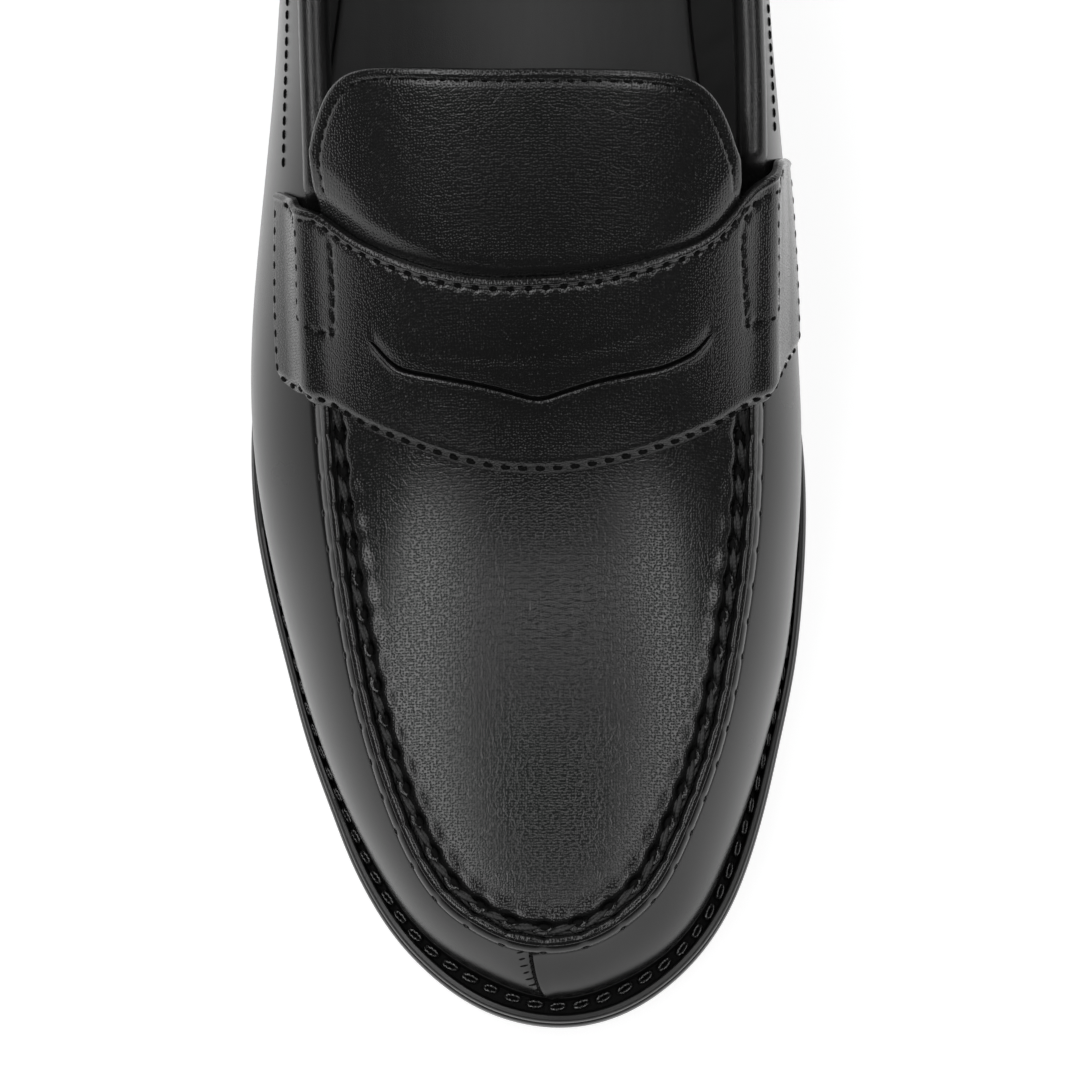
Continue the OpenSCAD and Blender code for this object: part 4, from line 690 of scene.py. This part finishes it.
def make_strap():
    stP = [];
    GA, NA, bumpA, arcA = finish_part(parts[0], LA, True, False); GB, NB, bumpB, arcB = finish_part(parts[1], LB, False, True)
    j1 = np.array([np.abs(v + 1).argmin(), np.abs(v - 1).argmin()])
    path = np.concatenate([p for p, n in rowsP]); holeP = np.concatenate([at(p, arclen(p), np.arange(1.55, arclen(p)[-1], 3.1)) for p, n in rowsP]);
    res = []
    holes = []
    for G, N, bp, L, first in ((GA, NA, bumpA, LA, True), (GB, NB, bumpB, LB, False)):
        e_edge = (L - F_) if first else (R_ - L); e_slit = ((SLl - gap) - L) if first else (L - (SLl + gap))
        e_end = np.minimum(np.abs(arcA[:, :1] * 0 + (arcA if first else arcB)), np.abs((arcA if first else arcB)[:, -1:] - (arcA if first else arcB)))
        tp = taper(v)[None] + 0 * bp; hi = SO * tp + ST_T * (0.75 + 0.25 * tp) + bp
        hi = hi - roundover(e_edge, 0.35 if first else 0.6) - roundover(e_end, 0.5)
        if first: hi = hi - (SO * tp + ST_T - 0.45) * (1 - sstep(-0.8, 2.9, e_edge))                          # skived front edge
        else: hi = hi + 0.30 * gauss(e_edge - 0.75, 0.42)                                          # rolled rear edge
        g = gap / 0.24
        hi = hi - roundover(e_slit, 0.3) * g + (0.16 * gauss(e_slit - 0.5, 0.5) * g if first else -0.34 * gauss(e_slit, 1.6) * g)
        if not first:
            fl_ = np.interp(xs_, [q[0] for q in FOLD], [q[1] for q in FOLD]); hi = hi - 0.13 * gauss(L - fl_[None], 0.8) * (sstep(-22, -16, xs_) * (1 - sstep(23, 29, xs_)))[None]
        d = near_in(G + N * hi[..., None], path, 1.5); hi = hi - 0.14 * gauss(d, 0.45)
        d = near_in(G + N * hi[..., None], holeP, 1.8); hi = hi - 0.42 * gauss(d, 0.62)
        lo = SO * tp + bp * 0.9 + 0 * hi; lo = np.minimum(lo, hi - 0.3)
        res.append((G, N, lo, hi))
    # join both parts into one closed solid: outer and inner faces, rims at the edges and round the slit
    V, F, UV, base = [], [], [], 0; top = []
    for (G, N, lo, hi), L in zip(res, (LA, LB)):
        n, m = G.shape[:2]; A, B = G + N * hi[..., None], G + N * lo[..., None]; V += [A.reshape(-1, 3), B.reshape(-1, 3)]; K = n * m
        uv = np.stack([np.broadcast_to(arcA.mean(0), L.shape), L], -1).reshape(-1, 2); UV += [uv, uv]
        F += [grid_faces(n, m, base=base), grid_faces(n, m, base=base + K)[:, ::-1]]
        i, j = np.arange(n - 1), np.arange(m - 1)
        for c in (0, m - 1): F.append(base + np.stack([i * m + c, (i + 1) * m + c, K + (i + 1) * m + c, K + i * m + c], -1))
        first = L is LA; rows_ = [(0, None), (n - 1, "slit")] if first else [(0, "slit"), (n - 1, None)]
        for r_, kind in rows_:
            jj = j if kind is None else j[(gap[:-1] > 1e-6) | (gap[1:] > 1e-6)]
            F.append(base + np.stack([r_ * m + jj, r_ * m + jj + 1, K + r_ * m + jj + 1, K + r_ * m + jj], -1))
        base += 2 * K
    # where there is no slit the two parts share their points
    nA, m = LA.shape; KA = nA * m; nog = np.where(gap <= 1e-6)[0]; VV = np.concatenate(V)
    for lay_ in (0, 1):
        ia = lay_ * KA + (nA - 1) * m + nog; ib = 2 * KA + lay_ * LB.shape[0] * m + nog; mid = (VV[ia] + VV[ib]) / 2; VV[ia] = mid; VV[ib] = mid
    build("saddle_strap_piece", VV, F, [M["grain"]], uv=np.concatenate(UV), weld=0.003, slot="grain_leather", rep=["saddle_strap"], angle=60)
    return GA, NA, res[0][3], GB, NB, res[1][3]
GA, NA, bumpA, GB, NB, bumpB = make_strap()

# stitches on the strap: follow the finished surface, found by the closest point of the mesh
def surf_lookup(G, N, bp):
    pts = (G + N * bp[..., None]).reshape(-1, 3); t = KDTree(len(pts))
    for i, q in enumerate(pts): t.insert(q, i)
    t.balance(); return pts, N.reshape(-1, 3), t
tabs = [surf_lookup(GA, NA, bumpA), surf_lookup(GB, NB, bumpB)]
def onto(P):
    Q, NN = [], []
    for p in P:
        c = [(t.find(p), pts, nn) for pts, nn, t in tabs]; (co_, i, d), pts, nn = min(c, key=lambda z: z[0][2])
        n_ = nn[i]; Q.append(p + n_ * np.dot(pts[i] - p, n_)); NN.append(n_)
    Q, NN = np.array(Q), np.array(NN); return smooth_rows(Q, 3), unit(smooth_rows(NN, 6))
C, NN = [], []; w9 = np.linspace(-1, 1, 9)
for P, Nn in rowsP:
    Q, Nq = onto(P); LQ = arclen(Q)
    for c0 in np.arange(1.55, LQ[-1] - 0.6, 3.1):
        u = c0 + w9 * 0.85; nn = unit(at(Nq, LQ, u)); C.append(at(Q, LQ, u) - nn * (0.02 + 0.12 * w9[:, None] ** 2)); NN.append(nn)
tubes("strap_stitches", C, NN, 0.40 * np.clip(1 - w9 ** 4, 0.12, 1) ** 0.6, [M["thread2"]], slot="thread", rep=["strap_stitching"], k=9, flat=0.42)

# backing seen through the slit; the layer is real, its near-black matte material is painted shade inside the slit
def backing():
    vv = np.linspace(-1.95, 1.95, 200); uu = np.linspace(0.05, 0.95, 40); U, Vv = np.meshgrid(uu, vv, indexing="ij")
    L = cub(SE, Vv, 1) * (1 - U) + cub(SE, Vv, 2) * U; G = across(Vv, L); N = normals(G)
    for _ in range(10): N[:, 1:-1] = unit(N[:, :-2] + 2 * N[:, 1:-1] + N[:, 2:])
    shell("strap_backing_piece", G, 0.2, 0.82, [M["black"]], N=N, slot="upper_leather", rep=["strap_backing"])
backing()

# ------------------------------------------------------------------ tongue
TE_, THW = 157.0, 37.0
def tc(l): return -0.4 + np.where(l < 149, (149 - l) * 0.12, 0)
def twid(l): return THW - np.where(l < 146, (146 - l) * 0.04, 0)
def tl1(v): return TE_ + np.where(v < 0, 4.5, 1.5) * v * v - np.where(v < 0, 12.5 * np.abs(v) ** 12, 11.5 * np.abs(v) ** 10)
def trear(v): return cub(SE, 0.92 * v - 0.05, 2)
def tsurf(v, l, q=0.0):
    """tongue surface at share v of its half width, q mm inside its side edge"""
    x = tc(l) + v * (twid(l) - q); re = trear(v)
    k = sstep(-3.0, 7.0, l - re); zt, z0 = ZT(x, l), Z(x, l) + 0.1
    return np.stack([x, l - YO, z0 + (zt - z0) * k], -1)
def tongue_grid(q=0.0, nu=70, na=200, under=3.0):
    a = np.linspace(-90, 90, na) * math.pi / 180; vv = np.sin(a); uu = np.linspace(0, 1, nu) ** 0.9
    U, Vv = np.meshgrid(uu, vv, indexing="ij"); l0 = trear(Vv) - under + q * 0.3; l1 = tl1(Vv) - q
    return U, Vv, l0, l1
def tongue():
    na = 260; a = np.linspace(-90, 90, na) * math.pi / 180; vv = np.sin(a)
    ed = np.array([0, 0.05, 0.13, 0.25, 0.42, 0.62, 0.85, 1.1, 1.3, 1.5, 1.7, 1.95, 2.3])
    l0 = trear(vv) - 3.0; l1 = tl1(vv); l0 = np.minimum(l0, l1 - 3.2); span = l1 - l0
    rows = [l0 + (span - ed[-1]) * q for q in np.linspace(0, 1, 60)] + [l1 - e for e in ed[::-1][1:]]
    L = np.array(rows); Vv = np.broadcast_to(vv, L.shape); G = tsurf(Vv, L); N = normals(G)
    N[:, 0], N[:, -1] = N[:, 1], N[:, -2]
    # distance to the free edges
    rim = G[-1]; sideL, sideR = G[:, 0], G[:, -1]; edge = np.concatenate([sideL[::1], rim, sideR[::-1]]); LL = arclen(edge); edge = at(edge, LL, np.arange(0, LL[-1], 0.12))
    d = near(G, edge)
    hi = 1.25 - roundover(d, 0.6) + 0.10 * gauss(d - 1.0, 0.5)
    tuck = 1 - sstep(-1.2, 3.0, L - trear(Vv)); hi = hi - 0.75 * tuck
    # stitch row
    ring = G_in = None
    es = 1.75; q = np.linspace(-1, 1, 900); av = np.sin(q * math.pi / 2); k = 1 - es / THW
    l1q = tl1(av); lq = l1q - es * np.clip(1.0 - 0.0 * np.abs(av), 0, 1); P = tsurf(av * k, lq)
    # carry the row down both sides to the strap
    for sd, order in ((-1, 1), (1, -1)):
        lside = np.linspace(float(trear(sd)) + 0.5, float(lq[0 if sd < 0 else -1]), 60)[:-1]; Q = tsurf(sd * k + 0 * lside, lside)
        P = np.concatenate([Q, P]) if sd < 0 else np.concatenate([P, Q[::-1]])
    LLp = arclen(P); P = at(P, LLp, np.arange(0, LLp[-1], 0.25)); P = smooth_rows(P, 8)
    g = near_in(G, P, 1.5); hi = hi - 0.20 * gauss(g, 0.42)
    lo = np.minimum(-0.1 + 0 * hi, hi - 0.3)
    uv = np.stack([G[..., 0], L], -1)
    shell("tongue_piece", G, lo, hi, [M["grain"]], uv=uv, N=N, slot="grain_leather", rep=["tongue"], body="blend", angle=60)
    # normals along the row
    pts = G.reshape(-1, 3); t = KDTree(len(pts))
    for i, p in enumerate(pts): t.insert(p, i)
    t.balance(); idx = [t.find(p)[1] for p in P]; Np = unit(smooth_rows(N.reshape(-1, 3)[idx].copy(), 8))
    LP = arclen(P); w9 = np.linspace(-1, 1, 9); C, NN = [], []
    for c0 in np.arange(1.2, LP[-1] - 1, 2.4):
        u = c0 + w9 * 0.62; nn = unit(at(Np, LP, u)); C.append(at(P, LP, u) + nn * (1.06 - 0.10 * w9[:, None] ** 2)); NN.append(nn)
    tubes("tongue_stitches", C, NN, 0.30 * np.clip(1 - w9 ** 4, 0.12, 1) ** 0.6, [M["thread2"]], slot="thread", rep=["tongue_stitching"], body="blend", k=8, flat=0.45)
    # lining below it
    l0b, l1b = l0 + 0.2, tl1(vv) - 0.7; rows = np.array([l0b + (l1b - l0b) * q for q in np.linspace(0, 1, 50)]); Vb = np.broadcast_to(vv * (1 - 0.7 / THW), rows.shape)
    Gb = tsurf(Vb, rows); Nb = normals(Gb); Nb[:, 0], Nb[:, -1] = Nb[:, 1], Nb[:, -2]
    shell("tongue_lining_piece", Gb, -1.0, -0.12, [M["lining"]], uv=np.stack([Gb[..., 0], rows], -1), N=Nb, slot="lining_leather", rep=["tongue_lining"], body="blend")
tongue()

def tongue_root():
    U, Vv = np.meshgrid(np.linspace(0, 1, 14), np.linspace(-0.93, 0.93, 120), indexing="ij"); L = (112.6) * (1 - U) + (cub(SE, Vv, 2) - 3.4) * U
    L = np.maximum(L, 112.6 + U * 0.5); G = across(Vv, L); shell("tongue_root_piece", G, -LEA, -0.02, [M["grain"]], N=normals(G), slot="grain_leather", rep=["tongue_base"])
tongue_root()

# ------------------------------------------------------------------ collar binding
def binding():
    s = np.linspace(float(sL(-1, 139.8)), float(sL(1, 144.8)), 900); r = cr(s); n = outn(s); T = r[:, 3:6] - np.array([0, YO, -0.15]); Nn = np.concatenate([n, 0 * n[:, :1]], 1)
    e0 = np.where(s < 23, 140.0, 145.0); k = sstep(e0, e0 + 5.5, r[:, 4])       # the ends slip under the strap
    sec = [(0.28, -0.9), (0.42, -0.15), (0.58, 0.45), (0.66, 1.2), (0.52, 2.0), (0.15, 2.8), (-0.5, 3.45), (-1.3, 3.82), (-2.2, 3.9), (-3.0, 3.75), (-3.8, 3.3), (-4.5, 2.6), (-4.95, 1.7), (-5.1, 0.7), (-5.0, -0.6), (-4.6, -1.6), (-3.4, -1.8), (-1.2, -1.4)]
    E = np.array([a for a, b in sec]); H = np.array([b for a, b in sec])
    lift = 0.35 + 0.65 * k
    R = T[:, None] + Nn[:, None] * (E * (0.75 + 0.25 * k[:, None]) - 0.9 * (1 - k[:, None]))[..., None] + np.array([0, 0, 1.0]) * (H[None] * lift[:, None] - 1.2 * (1 - k[:, None]))[..., None]
    L = arclen(T); per = np.concatenate([[0], np.cumsum(np.hypot(np.diff(E), np.diff(H)))]); uv = np.stack(np.meshgrid(L, per, indexing="ij"), -1)
    sweep("collar_binding_piece", R, [M["binding"]], uv=uv, slot="binding_leather", rep=["collar_binding"], angle=60)
    # row of stitches on the quarters
    C, NN = [], []
    for a, b in ((float(sL(-1, 150)), 22.42), (23.58, float(sL(1, 156)))):
        ss = np.linspace(a, b, 500)
        tt = 0.845 - 0.045 * (1 - sstep(150, 205, cr(ss)[:, 1])) * (ss < 23); p, nn = on_wall(ss, tt, -0.06); c, n2, _ = stitches(p, nn, 2.5, 1.7, 0.16); C.append(c); NN.append(n2)
    tubes("collar_stitches", np.concatenate(C), np.concatenate(NN), 0.25, [M["thread2"]], slot="thread", rep=["collar_stitching"])
binding()

# ------------------------------------------------------------------ linings and the inside
LI, LT = LEA + 1.1, 0.9
def lining(name, s0, s1, ns, t1, rep, holes=None):
    t = np.linspace(0, t1, 60); s = np.linspace(s0, s1, ns); G = wall(*np.meshgrid(s, t, indexing="ij")); N = normals(G)
    lo = -LI - LT + np.zeros(G.shape[:2]); hi = -LI + 0 * lo
    if holes is not None:
        d = near_in(G + N * lo[..., None], holes, 2.0); lo = lo + 0.75 * (1 - sstep(0.55, 0.8, d))
    L = np.cumsum(np.concatenate([[0], np.linalg.norm(np.diff(G[:, 30], axis=0), axis=-1)])); uv = np.stack(np.broadcast_arrays(L[:, None], (t * 50)[None]), -1)
    shell(name, G, lo, hi, [M["lining"]], uv=uv, N=N, slot="lining_leather", rep=rep, angle=55)
lining("vamp_lining_piece", SMQ + 0.02 , NS + SQ - 0.02, 300, 0.95, ["vamp_lining"])
lining("quarter_lining_outer", SQ + 0.02, 22.92, 300, 1.0, ["quarter_lining_lateral"])
hs = []
for l_, t_ in ((160, 0.74), (166, 0.80), (172, 0.74), (178, 0.80), (184, 0.74), (190, 0.80)):
    p, n_ = on_wall(np.array([float(sL(1, l_))]), np.array([t_]), -LI - LT); hs.append(p[0])
lining("quarter_lining_inner", 23.08, SMQ - 0.02, 520, 1.0, ["quarter_lining_medial"], holes=np.array(hs))

def apron_lining():
    a, w = np.meshgrid(np.linspace(0, 1, 50), np.linspace(-1, 1, 60), indexing="ij"); o = 4.6; g = (w + 1) / 2; aL, aS = 112.0, 3.4
    R2 = lambda s, oo: rail(np.asarray(s, float), np.asarray(oo, float) + 0 * np.asarray(s, float))
    sl, sm = float(sL(-1, aL)), float(sL(1, aL)); c0 = R2(aS - 2 * aS * g, o); lx, rx = R2(sl, o), R2(sm, o); c1 = lx + (rx - lx) * g[..., None]
    d0 = R2(aS + (sl - aS) * a, o); d1 = R2(NS - aS + (sm - NS + aS) * a, o); k0, k1 = R2(aS, o), R2(-aS, o); a_, g_ = a[..., None], g[..., None]
    P = c0 * (1 - a_) + c1 * a_ + d0 * (1 - g_) + d1 * g_ - (k0 * (1 - a_) * (1 - g_) + k1 * (1 - a_) * g_ + lx * a_ * (1 - g_) + rx * a_ * g_)
    G = lay(P, Z(P[..., 0], P[..., 1])); shell("apron_lining_piece", G, -LI - LT, -LI, [M["lining"]], uv=P, N=normals(G), slot="lining_leather", rep=["apron_lining"])
apron_lining()

def sock():
    z0 = ZF0 + 2.4; rows, zs = [], []
    for r in spine_fill(ring_foot(-14), 10)[::-1]: rows.append(r); zs.append(zb(r[:, 1]) + z0)
    for o in (-14, -9, -6, -4.0, -3.75): r = ring_foot(o); rows.append(r); zs.append(zb(r[:, 1]) + z0)
    for o, h in ((-3.7, 0.3), (-3.75, 0.7), (-3.95, 0.88), (-4.6, 0.98), (-7, 0.95), (-10, 0.92), (-14, 0.9)): r = ring_foot(o); rows.append(r); zs.append(zb(r[:, 1]) + z0 + h)
    for r in spine_fill(ring_foot(-14), 14): rows.append(r); zs.append(zb(r[:, 1]) + z0 + 0.9)
    rows = np.array(rows); G = lay(rows, np.array(zs)); n, m = G.shape[:2]
    build("sock_lining_piece", G, [grid_faces(n, m, wj=True)], [M["sock"]], uv=rows, weld=0.002, slot="lining_leather", rep=["sock_lining"])
sock()

def grip():
    s = np.linspace(20.4, 25.6, 120); t = np.linspace(0.06, 0.97, 60); G = wall(*np.meshgrid(s, t, indexing="ij")); N = normals(G); o = -LI - LT
    a = np.linalg.norm(G - G[:1], axis=-1); b = np.linalg.norm(G - G[-1:], axis=-1); c = np.linalg.norm(G - G[:, :1], axis=-1); e = np.minimum(np.minimum(a, b), c)
    lo = o - 1.1 + roundover(e, 0.5); shell("heel_grip_piece", G, lo, o - 0.15, [M["suede"]], N=N, slot="grip_suede", rep=["heel_grip"])
grip()

# ------------------------------------------------------------------ CAD nodes that stay
for node, m in (("cork_filler", "cork"), ("shank", "steel"), ("insole_board", "board"), ("toe_puff", "stiff"), ("heel_counter", "stiff")):
    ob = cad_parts[node]
    if not ob.material_slots: ob.data.materials.append(M[m])
    for sl in ob.material_slots: sl.material = M[m]

# ------------------------------------------------------------------ floor, light
sc = bpy.context.scene
sc.view_settings.view_transform = "Standard"; sc.view_settings.look = "None"; sc.view_settings.exposure = 0; sc.view_settings.gamma = 1
fm, nt, b = mat_new("floor_white", Base_Color=(0.5, 0.5, 0.5), Roughness=0.9, Specular_IOR_Level=0.05, Emission_Color=(1, 1, 1), Emission_Strength=0.76)
bm = bmesh.new(); bmesh.ops.create_grid(bm, x_segments=2, y_segments=2, size=40.0); me = bpy.data.meshes.new("floor"); bm.to_mesh(me); bm.free(); me.materials.append(fm)
floor = bpy.data.objects.new("floor", me); sc.collection.objects.link(floor); floor.location = (0, 0, -0.0003)

# studio: dim ceiling, large soft panels left and right, a narrow one above the toe, white horizon
w = bpy.data.worlds.new("studio"); sc.world = w; w.use_nodes = True; nt = w.node_tree; bg = nt.nodes["Background"]
tcn = nt.nodes.new("ShaderNodeTexCoord"); sep = nt.nodes.new("ShaderNodeSeparateXYZ"); nt.links.new(tcn.outputs["Generated"], sep.inputs[0])
X_, Y_, Z_ = sep.outputs["X"], sep.outputs["Y"], sep.outputs["Z"]; rad = math.radians
ax = math_(nt, "ARCTAN2", X_, Z_); ay = math_(nt, "ARCTAN2", math_(nt, "MULTIPLY", Y_, -1.0), Z_)
def win(src, a, b, c, d): return math_(nt, "MULTIPLY", mrange(nt, src, rad(a), rad(b), 0, 1), mrange(nt, src, rad(c), rad(d), 1, 0))
ywin = win(ay, -75, -45, 24, 40)
left = math_(nt, "MULTIPLY", math_(nt, "MULTIPLY", win(ax, -42, -33, -26, -9), ywin), 3.8)
right = math_(nt, "MULTIPLY", math_(nt, "MULTIPLY", win(ax, 13, 27, 32, 40), ywin), 3.2)
front = math_(nt, "MULTIPLY", math_(nt, "MULTIPLY", win(ay, 16, 19, 20.5, 23.5), win(ax, -40, -20, 20, 40)), 2.2)
base = mrange(nt, Z_, 0.0, 0.12, 1.05, 0.09)
tot = math_(nt, "ADD", math_(nt, "ADD", left, right), math_(nt, "ADD", front, base))
nt.links.new(tot, bg.inputs["Strength"]); bg.inputs["Color"].default_value = (1, 1, 1, 1)

# ------------------------------------------------------------------ update
bpy.context.view_layer.update()
